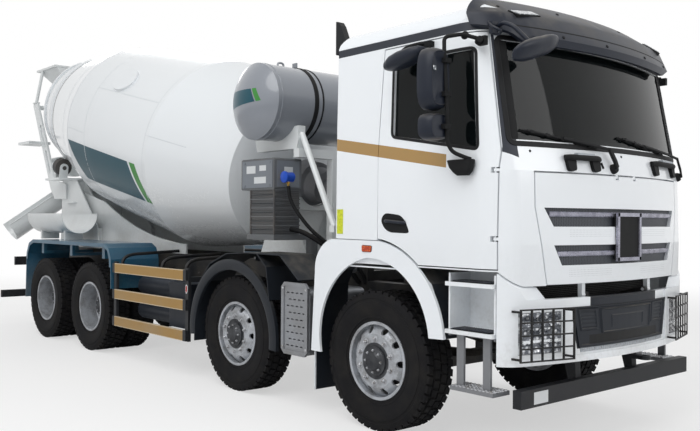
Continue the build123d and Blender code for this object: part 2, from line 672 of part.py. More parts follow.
def corner_mirror():
    """Front mirror on the passenger's side, on a bent arm from the visor's corner (right side)."""
    solid = fillet(block(1270, 1395, -HALF - 5, 275 - HALF, 2640, 2760).edges().filter_by(Axis.X), 40)
    solid += rod((1040, 85 - HALF, 2930), (1300, 45 - HALF, 2860), 13)
    return solid + rod((1300, 45 - HALF, 2860), (1340, 105 - HALF, 2740), 13)


def air_intake():
    """Air intake stack behind the cab's rear wall, with its narrow raised mouth (right side)."""
    near = CAB_REAR - FIT
    duct = [(near, 1750), (near, 3010), (-640, 3010), (-640, 1900), (-520, 1750)]
    mouth = [(-500, 3000), (-600, 3225), (-628, 3262), (-660, 3270), (-660, 2990)]
    return prism_y(duct, -960, -740) + prism_y(mouth, -985, -925)


# ---------------------------------------------------------------- front end
def bumper_band(inset, z0, z1):
    """A vertical band inside the bumper's outer skin moved in by inset."""
    face = plan_outline(BUMPER_FRONT - inset, HALF - inset, 900, z0, CORNER_R - inset, BOW_R - inset)
    return extrude(face, amount=z1 - z0, dir=(0, 0, 1))


def bumper():
    """Wrap-round bumper with wings up to the doors, lamp recesses, a centre recess and two brackets."""
    low, wing = BUMPER_LOW, 1263
    body = bumper_band(0, low, wing) - bumper_band(BUMPER_T, low - 1, wing + 1)
    body -= prism_y([(800, low - 5), (1150, low - 5), (1150, wing + 1), (800, wing + 1)], -WIDTH, WIDTH)
    above = [(1149, wing + 1), (1245, 1168), (1262, BUMPER_TOP), (1600, BUMPER_TOP), (1600, wing + 1)]
    body -= prism_y(above, -WIDTH, WIDTH)
    body -= (bumper_band(-1, low, wing) - bumper_band(8, low, wing)) & block(1200, 1500, -640, 640, 705, wing)
    lamps = bumper_band(-1, low, wing) - bumper_band(LAMP_DEPTH, low, wing)
    lamps = lamps & block(1150, 1500, HALF - 495, HALF - 135, 735, 1010)
    body = body - lamps - mirrored(lamps)
    for y in (385, -425):
        body += block(RAIL_FRONT + FIT, bow_x(BUMPER_FRONT - BUMPER_T, 425) + 5, y, y + 40, 800, 960)
    return body


def headlamp():
    """Lamp unit in the bumper's corner recess (left side)."""
    band = bumper_band(6, 738, 1007) - bumper_band(LAMP_DEPTH - FIT, 738, 1007)
    return band & block(1150, 1500, HALF - 492, HALF - 138, 738, 1007)


def lamp_guard():
    """Wire guard in front of a headlamp: a grid of bars on four lugs (left side)."""
    y0, y1, z0, z1, bar = GUARD_BOX
    lean = (y1 - y0) * tan(radians(GUARD_SWEEP))

    def sheet(near, far, t):
        back = (near - y0) / (y1 - y0) * lean, (far - y0) / (y1 - y0) * lean
        return [(FRONT_OVERHANG - back[0], near), (FRONT_OVERHANG - back[1], far),
                (FRONT_OVERHANG - back[1] - t, far), (FRONT_OVERHANG - back[0] - t, near)]

    guard = prism_z(sheet(y0, y1, bar), z0, z1)
    wide, high = (y1 - y0 - bar) / GUARD_COLS, (z1 - z0 - bar) / GUARD_ROWS
    for i in range(GUARD_COLS):
        for j in range(GUARD_ROWS):
            y, z = y0 + bar + i * wide, z0 + bar + j * high
            guard -= block(1150, 1450, y, y + wide - bar, z, z + high - bar)
    for z in (z0 + 12, z1 - 26):
        for y in (y0, y1 - 14):
            guard += block(1180, FRONT_OVERHANG - 5 - (y + 14 - y0) / (y1 - y0) * lean, y, y + 14, z, z + 14)
    return guard - bumper_band(-FIT, 600, 1200)


def front_bar():
    """Front underrun bar with its two brackets below the frame, one with the towing eye."""
    solid = block(1225, 1290, 107 - HALF, HALF - 107, 392, 512)
    bracket = [(1110, RAIL_BOTTOM - FIT), (1225, RAIL_BOTTOM - FIT), (1240, 500), (1240, 410), (1200, 410)]
    for y in (352, -418):
        solid += prism_y(bracket, y, y + 66)
    eye = block(1215, TOW_X, TOW_Y - 35, TOW_Y + 35, TOW_Z - 15, TOW_Z + 15)
    eye += rod((TOW_X, TOW_Y, TOW_Z - 15), (TOW_X, TOW_Y, TOW_Z + 15), 42)
    return (solid + eye) - rod((TOW_X, TOW_Y, TOW_Z - 20), (TOW_X, TOW_Y, TOW_Z + 20), TOW_EYE_R)


def front_fender():
    """Front mudguard: broad lip at the side, thin liner over the wheel, stay and mudflap (left side)."""
    y = HALF - FENDER_T
    edges = arch_edge(y)
    inner = [
        Line((733, y, 789), (599, y, 783)),
        ThreePointArc((599, y, 783), (436, y, 1135), (-20, y, 1322)),
        ThreePointArc((-20, y, 1322), (-400, y, 1110), (-545, y, 541)),
        Line((-545, y, 541), (-660, y, 541)),
    ]
    solid = extrude(make_face([*edges, *inner]), amount=FENDER_T, dir=(0, 1, 0))
    line = [(-650, 541), (-620, 1080), (-560, 1200), (-470, 1256), (470, 1256), (590, 1160), (672, 980),
            (724, 789)]
    solid += prism_y(strip(line, 9), HALF - 367, y + 1)
    solid += block(-40, 20, RAIL_Y + FIT, RAIL_Y + 20, 960, 1230)
    solid += block(-40, 20, RAIL_Y + 15, HALF - 335, 1195, 1230)
    return solid + block(-40, 20, HALF - 363, HALF - 335, 1195, 1250)


def mudflap():
    """Rubber flap below the front mudguard (left side)."""
    return block(-650, -643, HALF - 360, HALF - FENDER_T - 4, 217, 541 - 3 * FIT)


def cab_steps():
    """Step box below the door: riser, two treads and the hanging low step (left side)."""
    y0, y1 = HALF - 275, HALF
    solid = block(742, 1138, y0, y0 + 20, 790, 1262)
    for z in (1165, 840):
        solid += block(745, 1138, y0, y1, z, z + 28)
    for x in (745, 1124):
        solid += block(x, x + 14, y0, y1 - 40, 820, 1250)
    for x in (840, 1060):
        solid += block(x - 30, x + 30, y1 - 70, y1 - 50, 470, 850)
    solid += block(783, 1141, y1 - 190, y1 - 10, 458, 486)
    for x in (800, 1090):
        solid += block(x - 25, x + 25, RAIL_Y + FIT, y0 + 2, 900, 950)
    return solid


# ---------------------------------------------------------------- chassis side pieces
def exhaust_box():
    """Exhaust after-treatment box on the right, with the gas pipe that enters it."""
    solid = fillet(block(-1090, -730, 45 - HALF, -560, 470, 1020).edges().filter_by(Axis.Y), 60)
    solid += block(-960, -860, -562, -RAIL_Y - FIT, 830, 960)
    x, y, z = -786, 195 - HALF, 1185
    solid += rod((x, y, 960), (x, y, z), 40) + Pos(x, y, z) * Sphere(40.5)
    return solid + rod((x, y, z), (x, -640, z), 40)


def heat_shield():
    """Plate outside the exhaust box, with rows of dash slots in its sunk middle."""
    y = 45 - HALF - FIT
    plate = chamfer(block(-1085, -737, y - 26, y, 462, 1075).edges().filter_by(Axis.Y), 40)
    plate -= block(-1050, -772, y - 27, y - 18, 500, 1040)
    slots = []
    for row in range(9):
        for col in range(4):
            x, z = -1000 + 60 * col + 30 * (row % 2), 540 + 56 * row
            slots.append(block(x - 18, x + 18, y - 30, y + 1, z - 5, z + 5))
    return plate - slots


def second_fender():
    """Mudguard over the second axle with its forward shelf, and the stay to the frame (left side)."""
    x = AXLE_X[1]
    line = [(x - 612, 405), (x - 604, 716), (x - 520, 1000), (x - 340, 1185), (x - 60, 1290), (x + 250, 1308),
            (x + 748, 1305), (x + 1010, 1100)]
    leg = [(x + 420, 1304), (x + 560, 1190), (x + 606, 900)]
    solid = prism_y(strip(line, 9), HALF - 395, HALF - 10) + prism_y(strip(leg, 9), HALF - 395, HALF - 10)
    solid += block(x - 60, x, RAIL_Y + FIT, RAIL_Y + 20, 960, 1250)
    solid += block(x - 60, x, RAIL_Y + 15, HALF - 350, 1210, 1250)
    return solid + block(x - 60, x, HALF - 390, HALF - 350, 1210, 1285)


def rear_fender():
    """Flat-topped mudguard over both driven axles, with three stays to the frame (left side)."""
    front, rear = AXLE_X[2], AXLE_X[3]
    line = [(rear - 680, 500), (rear - 650, 1120), (rear - 570, 1260), (rear - 420, 1312),
            (front + 420, 1312), (front + 530, 1262), (front + 590, 1130), (front + 600, 790)]
    lip = [(x, z) for x, z in line if z > 900]
    lip = [(rear - 660, 1040), *lip, (front + 594, 1040)]
    solid = prism_y(strip(line, 9), HALF - 635, HALF) + prism_y(strip(lip, 45), HALF - 8, HALF)
    for x in (front + 250, (front + rear) / 2, rear - 250):
        solid += block(x - 35, x + 35, RAIL_Y + FIT, HALF - 75, 1125, 1165)
        solid += block(x - 35, x + 35, HALF - 585, HALF - 545, 1160, 1306)
        solid += block(x - 35, x + 35, HALF - 115, HALF - 75, 1130, 1306)
    return solid


def side_guard():
    """Three boards on two posts, with brackets to the frame (left side)."""
    x0, x1, y = -4222, -2600, HALF
    solid = block(x0, x0 + 60, y - 60, y - 26, 370, 1110) + block(x1 - 60, x1, y - 60, y - 26, 370, 1110)
    for z in (375, 685, 985):
        solid += block(x0 + 10, x1 - 10, y - 27, y, z, z + 108)
    for x in (x0 + 8, x1 - 52):
        solid += block(x, x + 44, RAIL_Y + FIT, y - 50, 968, 1020)
    return solid


def fuel_tank():
    """Fuel tank with its filler cap, on two brackets (left side)."""
    tank = fillet(block(-4080, -2760, 500, HALF - 105, 430, 940).edges().filter_by(Axis.X), 90)
    for x in (-3800, -3050):
        tank += block(x - 30, x + 30, RAIL_Y + FIT, 560, 500, 940)
    return tank + rod((-2950, HALF - 235, 935), (-2950, HALF - 235, 962), 55)


def air_tanks():
    """Two air reservoirs on their brackets (right side)."""
    solid = None
    for z in (560, 840):
        tank = fillet(rod((-4050, -900, z), (-3250, -900, z), 105).edges(), 40)
        solid = tank if solid is None else solid + tank
    for x in (-3930, -3370):
        solid += block(x - 30, x + 30, -930, -870, 560, 840)
        solid += block(x - 30, x + 30, -870, -RAIL_Y - FIT, 780, 900)
    return solid


def battery_box():
    """Battery box with its lid's edge (right side)."""
    solid = fillet(block(-3150, -2720, 125 - HALF, -520, 470, 900).edges().filter_by(Axis.Z), 25)
    solid += fillet(block(-3158, -2712, 117 - HALF, -514, 898, 935).edges().filter_by(Axis.Z), 25)
    return solid + block(-3000, -2860, -530, -RAIL_Y - FIT, 800, 925)


def rear_bar():
    """Lamp beam and the underrun bar below it, on two drop plates from the rails."""
    x = RAIL_REAR - FIT
    solid = block(x - 45, x, -950, 950, 880, 1010) + block(x - 70, x, -1150, 1150, 392, 500)
    for y in (352, -418):
        solid += block(x - 22, x, y, y + 66, 420, 1000)
    return solid


def tail_lamp():
    """Lamp cluster on the rear face of the lamp beam (left side)."""
    x = RAIL_REAR - 45 - 2 * FIT
    return block(x - 50, x, 600, 930, 895, 995)


# ---------------------------------------------------------------- drum and its drive
DRUM_DIR = (-cos(radians(DRUM_PITCH)), 0, sin(radians(DRUM_PITCH)))
DRUM_DOWN = (-sin(radians(DRUM_PITCH)), 0, -cos(radians(DRUM_PITCH)))


def on_drum(s, r=0.0, turn=0.0):
    """A point at distance s along the drum's axis and r from it, turn degrees from straight down."""
    c, q = cos(radians(turn)), sin(radians(turn))
    return (DRUM_X + s * DRUM_DIR[0] + r * c * DRUM_DOWN[0], r * q,
            DRUM_Z + s * DRUM_DIR[2] + r * c * DRUM_DOWN[2])


def drum_plane():
    return Plane(origin=on_drum(0), x_dir=DRUM_DIR, z_dir=(0, 1, 0))


def dome(tip, x, r):
    """Arc of a spherical cap from its tip on the axis to its rim at (x, r)."""
    rise = abs(x - tip)
    ball = (r * r + rise * rise) / (2 * rise)
    half = atan2(r, ball - rise) / 2
    way = 1 if x > tip else -1
    return ThreePointArc((tip, 0), (tip + way * ball * (1 - cos(half)), ball * sin(half)), (x, r))


def revolved(edges, place):
    """Revolves edges that close on the x axis of the plane place about it."""
    return revolve(place * make_face(edges), Axis(place.origin, place.x_dir), 360)


def drum_body(grow, wall=None):
    """The drum's solid of revolution, moved out by grow; with a wall it is hollow and open at the rear."""
    skin = [(s, r + grow) for s, r in DRUM_SHELL]
    dish = HEAD_DEPTH + grow
    head = dome(-dish, *skin[0])
    end = skin[-1][0]
    solid = revolved([head, *Polyline(*skin, (end, 0), (-dish, 0)).edges()], drum_plane())
    if wall is None:
        return solid
    hollow = [(s, r - wall) for s, r in skin]
    hollow[-1] = (end + 5, hollow[-1][1])
    inside = dome(wall - dish, *hollow[0])
    outline = [inside, *Polyline(*hollow, (end + 5, 0), (wall - dish, 0)).edges()]
    return solid - revolved(outline, drum_plane())


def drum():
    """Drum shell with its dished head, drive flange, track ring, mouth hoop and inspection cover."""
    solid = drum_body(0, DRUM_WALL)
    solid += turned([(FLANGE_S, 0), (FLANGE_S, 150), (FLANGE_S + 20, 150), (FLANGE_S + 20, 110),
                     (10 - HEAD_DEPTH, 110), (6 - HEAD_DEPTH, 0)], drum_plane())
    (s0, r0), (s1, r1) = DRUM_SHELL[3], DRUM_SHELL[4]
    foot = r0 + (r1 - r0) * (RING_S - s0) / (s1 - s0) - 5
    near, far = RING_S - RING_W / 2, RING_S + RING_W / 2
    solid += turned([(near, foot), (near, RING_R), (far, RING_R), (far, foot - 18)], drum_plane())
    solid += turned([(s1 - 40, r1 + 2), (s1 - 40, r1 + 26), (s1, r1 + 26), (s1, r1 - 4)], drum_plane())
    out = Vector(*on_drum(0, 1, COVER_TURN)) - Vector(*on_drum(0))
    place = Plane(origin=on_drum(COVER_S, DRUM_SHELL[1][1] - 60, COVER_TURN), x_dir=DRUM_DIR, z_dir=out)
    cover = place * extrude(Ellipse(230, 170), amount=82)
    return solid + (cover - drum_body(-DRUM_WALL / 2))


def gearbox():
    """Drum gearbox with its output flange, ring gear case, input case and hydraulic motor."""
    s = FLANGE_S - 0.5
    return turned([(s, 0), (s, 165), (s - 50, 165), (s - 60, GEARBOX_R), (s - 240, GEARBOX_R), (s - 270, 190),
                   (s - 420, 170), (s - 430, 100), (s - 620, 90), (s - 620, 0)], drum_plane())


def gearbox_space(gap):
    s = FLANGE_S
    r = GEARBOX_R + gap
    return turned([(s + 5, 0), (s + 5, r), (s - 700, r), (s - 700, 0)], drum_plane())


def front_pedestal():
    """Welded front stand: two side plates, top plate, feet, a cross web and two curved saddles."""
    front, rear = on_drum(FLANGE_S - 190)[0], on_drum(FLANGE_S - 110)[0]
    x0, x1, z = front + 90, rear - 120, on_drum(FLANGE_S - 240, GEARBOX_R)[2] - 25
    y0, foot_z = RAIL_Y - SUB_W, SUB_TOP + FIT
    plate = prism_y([(x0, z), (x1, z), (x1 - 240, foot_z), (x0 + 300, foot_z)], y0, y0 + 20)
    plate += block(x1 - 240, x0 + 300, y0, RAIL_Y, foot_z, foot_z + 20)
    solid = plate + mirrored(plate) + block(x1, x0, -y0 - 20, y0 + 20, z - 25, z)
    solid += block((x0 + x1) / 2 - 10, (x0 + x1) / 2 + 10, -y0 - 5, y0 + 5, foot_z + 40, z - 10)
    for x in (x0 - 60, x1 + 60):
        solid += block(x - 12, x + 12, -GEARBOX_R - 40, GEARBOX_R + 40, z - 5, z + 110) - gearbox_space(FIT)
    return solid


def roller_ends(sign):
    """The two ends of a support roller's barrel; its axis is parallel to the drum's."""
    reach, half = RING_R + ROLLER_GAP + ROLLER_R, ROLLER_W / 2
    turn = sign * ROLLER_ANGLE
    return Vector(*on_drum(RING_S - half, reach, turn)), Vector(*on_drum(RING_S + half, reach, turn))


def roller(sign):
    """Support roller with its shaft ends."""
    a, b = roller_ends(sign)
    out = Vector(*DRUM_DIR) * 38
    return rod(a, b, ROLLER_R) + rod(a - out, b + out, ROLLER_PIN_R)


def rear_pedestal():
    """Rear stand: two box legs under a top plate, bearing blocks for the rollers, and long side gussets."""
    a, b = roller_ends(1)
    mid, top = (a + b) / 2, min(a.Z, b.Z) - ROLLER_R - 30
    x0, x1, foot = mid.X - 260, mid.X + 230, SUB_TOP + FIT
    y0, y1 = RAIL_Y - SUB_W, ARM_Y
    outline = [(x0, top - 30), (x1, top - 30), (x1 + 700, foot + 300), (x1 + 760, foot), (x0 - 60, foot)]
    leg = prism_y(outline, y0, y0 + 16) + prism_y(outline, y1 - 16, y1)
    for x in (x0 + 10, mid.X - 40, x1 - 40):
        leg += block(x, x + 16, y0 + 5, y1 - 5, foot, top - 10)
    leg += block(x1 + 680, x1 + 696, y0 + 5, y1 - 5, foot, foot + 280)
    leg += block(x0, x1, y0, mid.Y + 150, top - 30, top)
    for z in (foot + 420, foot + 640):
        leg += block(mid.X - 40, mid.X + 240, y1 - 5, y1 + 55, z, z + 10)
    for end, way in ((a, -1), (b, 1)):
        run = Vector(*DRUM_DIR) * way
        near, far = end + run * RUN, end + run * (RUN + 26)
        slab = block(near.X - 120, near.X + 120, near.Y - 62, near.Y + 62, top - 5, near.Z)
        slab = slab & rod(near, far, 400)
        leg += rod(near, far, 62) + slab
    leg -= rod(a - Vector(*DRUM_DIR) * 60, b + Vector(*DRUM_DIR) * 60, ROLLER_PIN_R + FIT)
    solid = leg + mirrored(leg) + block(mid.X - 12, mid.X + 12, -y0 - 5, y0 + 5, foot + 60, top - 60)
    (s1, r1), (s3, r3) = DRUM_SHELL[1], DRUM_SHELL[3]
    low = on_drum(s1, sqrt((r1 + 50) ** 2 - RAIL_Y ** 2))
    high = on_drum(s3, sqrt((r3 + 50) ** 2 - RAIL_Y ** 2))
    y = RAIL_Y - 20
    edge = ThreePointArc((low[0], y, low[2]), (GUSSET_MID_X, y, GUSSET_MID_Z), (high[0], y, high[2]))
    rest = Polyline(edge @ 1, (x1 + 60, y, top - 200), (x1 + 20, y, foot), (low[0], y, foot), edge @ 0)
    gusset = extrude(make_face([edge, *rest.edges()]), amount=20, dir=(0, 1, 0))
    return solid + gusset + mirrored(gusset)


# ---------------------------------------------------------------- water tank, stand and cooler
def water_tank():
    """Transverse water tank with dished heads and two lifting eyes."""
    y, tip = TANK_SEAM_Y, TANK_SEAM_Y + TANK_DISH
    ends = [dome(tip, y, TANK_R), dome(-tip, -y, TANK_R)]
    place = Plane(origin=(TANK_X, 0, TANK_Z), x_dir=(0, 1, 0), z_dir=(1, 0, 0))
    tank = revolved([*ends, Line((-y, TANK_R), (y, TANK_R)), Line((-tip, 0), (tip, 0))], place)
    for eye in (-620, 620):
        tank += block(TANK_X - 30, TANK_X + 30, eye - 8, eye + 8, TANK_Z + TANK_R - 10, TANK_Z + TANK_R + 55)
    return tank


def tank_stand():
    """Stand of the water tank: posts on the subframe, cross beams, curved saddles and diagonals."""
    low, high, inner = SUB_TOP + FIT, TANK_Z - 520, RAIL_Y - SUB_W
    front, beam = SUB_FRONT - 60, 1500
    solid = block(front, front + 60, -840, 840, beam, beam + 60)
    solid += block(TANK_X + 260, TANK_X + 340, -840, 840, high, high + 80)
    saddle = [(-330, -230), (330, -230), (330, -350), (300, -440), (-300, -440), (-330, -350)]
    for y in (-840, 760):
        plate = prism_y([(TANK_X + x, TANK_Z + z) for x, z in saddle], y, y + 80)
        solid += plate - rod((TANK_X, y - 1, TANK_Z), (TANK_X, y + 81, TANK_Z), TANK_R + FIT)
        solid += rod((TANK_X + 330, y + 40, TANK_Z - 300), (front + 30, y + 40, beam + 30), 28)
    for y in (-RAIL_Y, inner):
        solid += block(front, front + 60, y, y + SUB_W, low, beam + 5)
        solid += block(TANK_X + 260, TANK_X + 340, y, y + SUB_W, low, high + 5)
    return solid


def cooler_unit():
    """Hydraulic oil cooler and the control box above it, on a tray from the subframe (right side)."""
    x0, x1 = TANK_X - 160, TANK_X + 255
    solid = block(x0, x1, -1060, -640, 1420, 1470)
    solid += block(x0 + 120, x0 + 200, -645, -RAIL_Y + SUB_W, 1430, 1470)
    solid += block(x0 + 120, x0 + 200, -RAIL_Y, -RAIL_Y + SUB_W, SUB_TOP + FIT, 1470)
    solid += block(x0 + 50, x1 - 5, -1050, -760, 1465, 1885)
    for i in range(9):
        z = 1510 + 40 * i
        solid += block(x0 + 45, x1, -1056, -755, z, z + 12)
    return solid + fillet(block(x0 - 90, x1, -1060, -740, 1880, 2170).edges().filter_by(Axis.Y), 20)


# ---------------------------------------------------------------- filling and discharge
def funnel(levels, wall):
    """An open funnel through rectangular levels (height, rear, front, half width), walls inward."""
    def body(t):
        faces = []
        for z, rear, front, half in levels:
            near, far = rear + 1.4 * t, front - 1.4 * t
            faces.append(make_face(Polyline((near, t - half, z), (far, t - half, z), (far, half - t, z),
                                            (near, half - t, z), close=True)))
        return loft(faces, ruled=True)
    return body(0), body(wall)


def hopper():
    """Charging hopper above the drum's mouth, with its rim and two legs on the arms."""
    shape, space = funnel(HOPPER_LEVELS, 7)
    top, rear, front, half = HOPPER_LEVELS[0]
    solid = shape + block(rear - 15, front + 15, -half - 15, half + 15, top - 30, top)
    for way in (1, -1):
        y = way * (ARM_Y + ARM_T / 2)
        solid += rod((ARM_TOP_X, y, ARM_TOP_Z + 5), (rear + 190, way * (half - 5), top - 25), 25)
        solid += block(ARM_TOP_X - 65, ARM_TOP_X + 65, y - 35, y + 35, ARM_TOP_Z + FIT, ARM_TOP_Z + 16)
    return solid - space


def hopper_frame():
    """Two slotted arms from the rear stand up to the hopper, cross tubes and the service platform."""
    foot, head = Vector(-7640, 0, 2130), Vector(ARM_TOP_X, 0, ARM_TOP_Z)
    arm = prism_y([(-7150, 1900), (-7150, 2120), (-7570, 2190), (ARM_TOP_X + 80, ARM_TOP_Z),
                   (ARM_TOP_X - 80, ARM_TOP_Z), (ARM_TOP_X - 80, ARM_TOP_Z - 50), (-7720, 2060),
                   (-7560, 1900)], ARM_Y + FIT, ARM_Y + ARM_T)
    way = (head - foot).normalized()
    for start in (230, 700):
        a, b = foot + way * start, foot + way * (start + 350)
        slot = rod((a.X, ARM_Y - 5, a.Z), (a.X, ARM_Y + ARM_T + 5, a.Z), 32)
        slot += rod((b.X, ARM_Y - 5, b.Z), (b.X, ARM_Y + ARM_T + 5, b.Z), 32)
        side_z = Vector(-way.Z, 0, way.X) * 32
        corners = [(p.X, p.Z) for p in (a + side_z, b + side_z, b - side_z, a - side_z)]
        slot += prism_y(corners, ARM_Y - 5, ARM_Y + ARM_T + 5)
        arm -= slot
    solid = arm + mirrored(arm)
    for x, z, r in ((ARM_TOP_X, ARM_TOP_Z - 60, 38), (-7690, 2120, 30)):
        solid += rod((x, -ARM_Y - 5, z), (x, ARM_Y + 5, z), r)
    solid += block(REAR_END, -8050, -750, -400, 2775, 2815)
    solid -= block(REAR_END + 20, -8120, -730, -545, 2790, 2820)
    return solid


def ladder():
    """Ladder to the platform's level on the left, hooked to the arm and standing on the subframe's tail."""
    y, low, high = 640, 1330, 2560
    solid = rod((LADDER_X[0], y, 2485), (LADDER_X[1], y, 2485), 13)
    for x in LADDER_X:
        solid += rod((x, y, low), (x, y, high), 17)
        solid += block(x - 15, x + 15, RAIL_Y + FIT, y + 15, low + 5, low + 35)
        solid += block(x - 15, x + 15, RAIL_Y + FIT, RAIL_Y + 14, SUB_TOP - 120, low + 35)
    for i in range(4):
        z = low + 70 + 270 * i
        solid += rod((LADDER_X[0], y, z), (LADDER_X[1], y, z), 13)
    return solid + block(-7860, -7790, ARM_Y + ARM_T + FIT, y + 10, 2470, 2500)


def discharge_chute():
    """Fixed collecting funnel below the drum's mouth, held between the arms."""
    shape, space = funnel(DISCHARGE_LEVELS, 7)
    for way in (1, -1):
        y = sorted((way * 320, way * ARM_Y))
        shape += block(-7900, -7780, y[0], y[1], 2470, 2530)
    return shape - space


def trough(origin, way, length, radius, wall, side_h):
    """A half-round trough from origin along way, with upright rims."""
    place = Plane(origin=origin, x_dir=(0, 1, 0), z_dir=way)
    r, q, h = radius + wall, radius, side_h
    face = make_face([
        Line((-r, -h), (-r, 0)), ThreePointArc((-r, 0), (0, r), (r, 0)), Line((r, 0), (r, -h)),
        Line((r, -h), (q, -h)), Line((q, -h), (q, 0)), ThreePointArc((q, 0), (0, q), (-q, 0)),
        Line((-q, 0), (-q, -h)), Line((-q, -h), (-r, -h)),
    ])
    return extrude(place * face, amount=length, dir=way)


def swung(solid):
    """Turns a piece drawn straight back about the swivel post to where the chute is parked."""
    return Pos(POST_X, 0, 0) * Rot(0, 0, CHUTE_SWING) * Pos(-POST_X, 0, 0) * solid


def swing_chute():
    """Discharge chute: half-round trough with rolled rims, end wall, ribs and two hinge pins."""
    slope = radians(CHUTE_SLOPE)
    way = Vector(-cos(slope), 0, -sin(slope))
    hinge = Vector(POST_X, 0, CHUTE_HINGE_Z)
    start, length = hinge - way * CHUTE_BACK, CHUTE_BACK + CHUTE_LENGTH
    solid = trough(start, way, length, CHUTE_R, CHUTE_T, 60)
    place = Plane(origin=start, x_dir=(0, 1, 0), z_dir=way)
    up = Vector(-sin(slope), 0, cos(slope)) * 60
    for y in (CHUTE_R + CHUTE_T, -CHUTE_R - CHUTE_T):
        edge = start + up + Vector(0, y, 0)
        solid += rod(edge, edge + way * length, 8)
        inner, outer = (y, y + 50) if y > 0 else (y - 50, y)
        solid += rod((hinge.X, inner, hinge.Z), (hinge.X, outer, hinge.Z), CHUTE_PIN_R)
    r = CHUTE_R + 3
    upright = Polyline((r, 0), (r, -58), (-r, -58), (-r, 0)).edges()
    wall = make_face([ThreePointArc((-r, 0), (0, r), (r, 0)), *upright])
    solid += extrude(place * wall, amount=6, dir=way)
    return swung(solid)


def chute_swivel():
    """Swivelling yoke of the chute: shaft and collar on the post, goose neck and fork with two bores."""
    x, fork = POST_X, CHUTE_R + CHUTE_T + 19
    solid = rod((x, 0, POST_TOP - 130), (x, 0, POST_TOP + 30), SWIVEL_R)
    solid += rod((x, 0, POST_TOP + 0.5), (x, 0, POST_TOP + 25), POST_R + 12)
    solid += block(x - 40, x + 175, -45, 45, POST_TOP + 20, POST_TOP + 75)
    solid += block(x + 95, x + 175, -45, 45, POST_TOP + 20, POST_TOP + 200)
    solid += block(x + 95, x + 175, -fork - 25, fork + 25, POST_TOP + 150, POST_TOP + 200)
    cheek = prism_y([(x + 175, POST_TOP + 150), (x + 175, POST_TOP + 200), (x + 45, CHUTE_HINGE_Z),
                     (x - 45, CHUTE_HINGE_Z), (x + 95, POST_TOP + 150)], fork, fork + 25)
    cheek += rod((x, fork, CHUTE_HINGE_Z), (x, fork + 25, CHUTE_HINGE_Z), 45)
    cheek -= rod((x, fork - 5, CHUTE_HINGE_Z), (x, fork + 30, CHUTE_HINGE_Z), CHUTE_PIN_R + FIT)
    return swung(solid + cheek + mirrored(cheek))


def chute_post():
    """Swivel post with its bracket behind the subframe's rails, joined to the subframe."""
    base = block(POST_X - 70, RAIL_REAR + 10, -RAIL_Y, RAIL_Y, RAIL_TOP + 10, RAIL_TOP + 120)
    post = rod((POST_X, 0, RAIL_TOP + 110), (POST_X, 0, POST_TOP), POST_R)
    return base + (post - rod((POST_X, 0, POST_TOP - 132), (POST_X, 0, POST_TOP + 5), SWIVEL_R + FIT))


def extension_chute():
    """Spare half-pipe chute stored on two saddles above the right rear mudguard."""
    x0, length, y, z, r = -7200, 1200, -830, 1660, 252
    solid = Pos(0, y, 0) * trough((x0 + length, 0, z), (-1, 0, 0), length, r, 8, 12)
    for x in (x0 + 200, x0 + 1000):
        saddle = block(x - 25, x + 25, y - 130, y + 130, 1312 + FIT, z - r + 40)
        solid += saddle - rod((x - 30, y, z), (x + 30, y, z), r + 4)
    return solid


# ---------------------------------------------------------------- write the pieces
def wheel_pieces():
    pieces = {}
    for name, sign in (("left", 1), ("right", -1)):
        for i in (0, 1):
            pieces[f"tyre_{i + 1}_{name}"] = [side(tyre(AXLE_X[i], FRONT_WHEEL_Y), sign)]
            pieces[f"rim_{i + 1}_{name}"] = [side(front_rim(AXLE_X[i]), sign)]
            pieces[f"knuckle_{i + 1}_{name}"] = [side(knuckle(AXLE_X[i]), sign)]
        for i in (2, 3):
            twins = [tyre(AXLE_X[i], TWIN_Y - TWIN_HALF), tyre(AXLE_X[i], TWIN_Y + TWIN_HALF)]
            pieces[f"tyres_{i + 1}_{name}"] = [side(t, sign) for t in twins]
            pieces[f"rims_{i + 1}_{name}"] = [side(twin_rims(AXLE_X[i]), sign)]
    return pieces


def chassis_pieces():
    return {
        "frame_rails": [frame()],
        "axles": [front_axle(AXLE_X[0]), front_axle(AXLE_X[1]), rear_axle(AXLE_X[2]), rear_axle(AXLE_X[3])],
        "drivetrain": [engine(), *propshafts()],
        "leaf_springs": pair(front_spring(AXLE_X[0])) + pair(front_spring(AXLE_X[1])) + pair(rear_spring()),
        "bumper": [bumper()],
        "lamps": pair(headlamp()) + pair(tail_lamp()),
        "lamp_guards": pair(lamp_guard()),
        "underrun_bars": [front_bar(), rear_bar()],
        "front_fenders": pair(front_fender()) + pair(second_fender()) + pair(mudflap()),
        "rear_fenders": pair(rear_fender()),
        "cab_steps": pair(cab_steps()),
        "exhaust_box": [exhaust_box(), heat_shield()],
        "side_guards": pair(side_guard()),
        "tanks_and_boxes": [fuel_tank(), air_tanks(), battery_box()],
    }


def mixer_pieces():
    return {
        "mixer_subframe": [subframe() + chute_post()],
        "drum": [drum()],
        "drum_gearbox": [gearbox()],
        "drum_pedestals": [front_pedestal(), rear_pedestal()],
        "roller_left": [roller(1)],
        "roller_right": [roller(-1)],
        "water_tank": [water_tank()],
        "tank_stand": [tank_stand()],
        "cooler_unit": [cooler_unit()],
        "hopper": [hopper()],
        "hopper_frame": [hopper_frame(), ladder()],
        "fixed_chutes": [discharge_chute(), extension_chute()],
        "chute_swivel": [chute_swivel()],
        "swing_chute": [swing_chute()],
    }


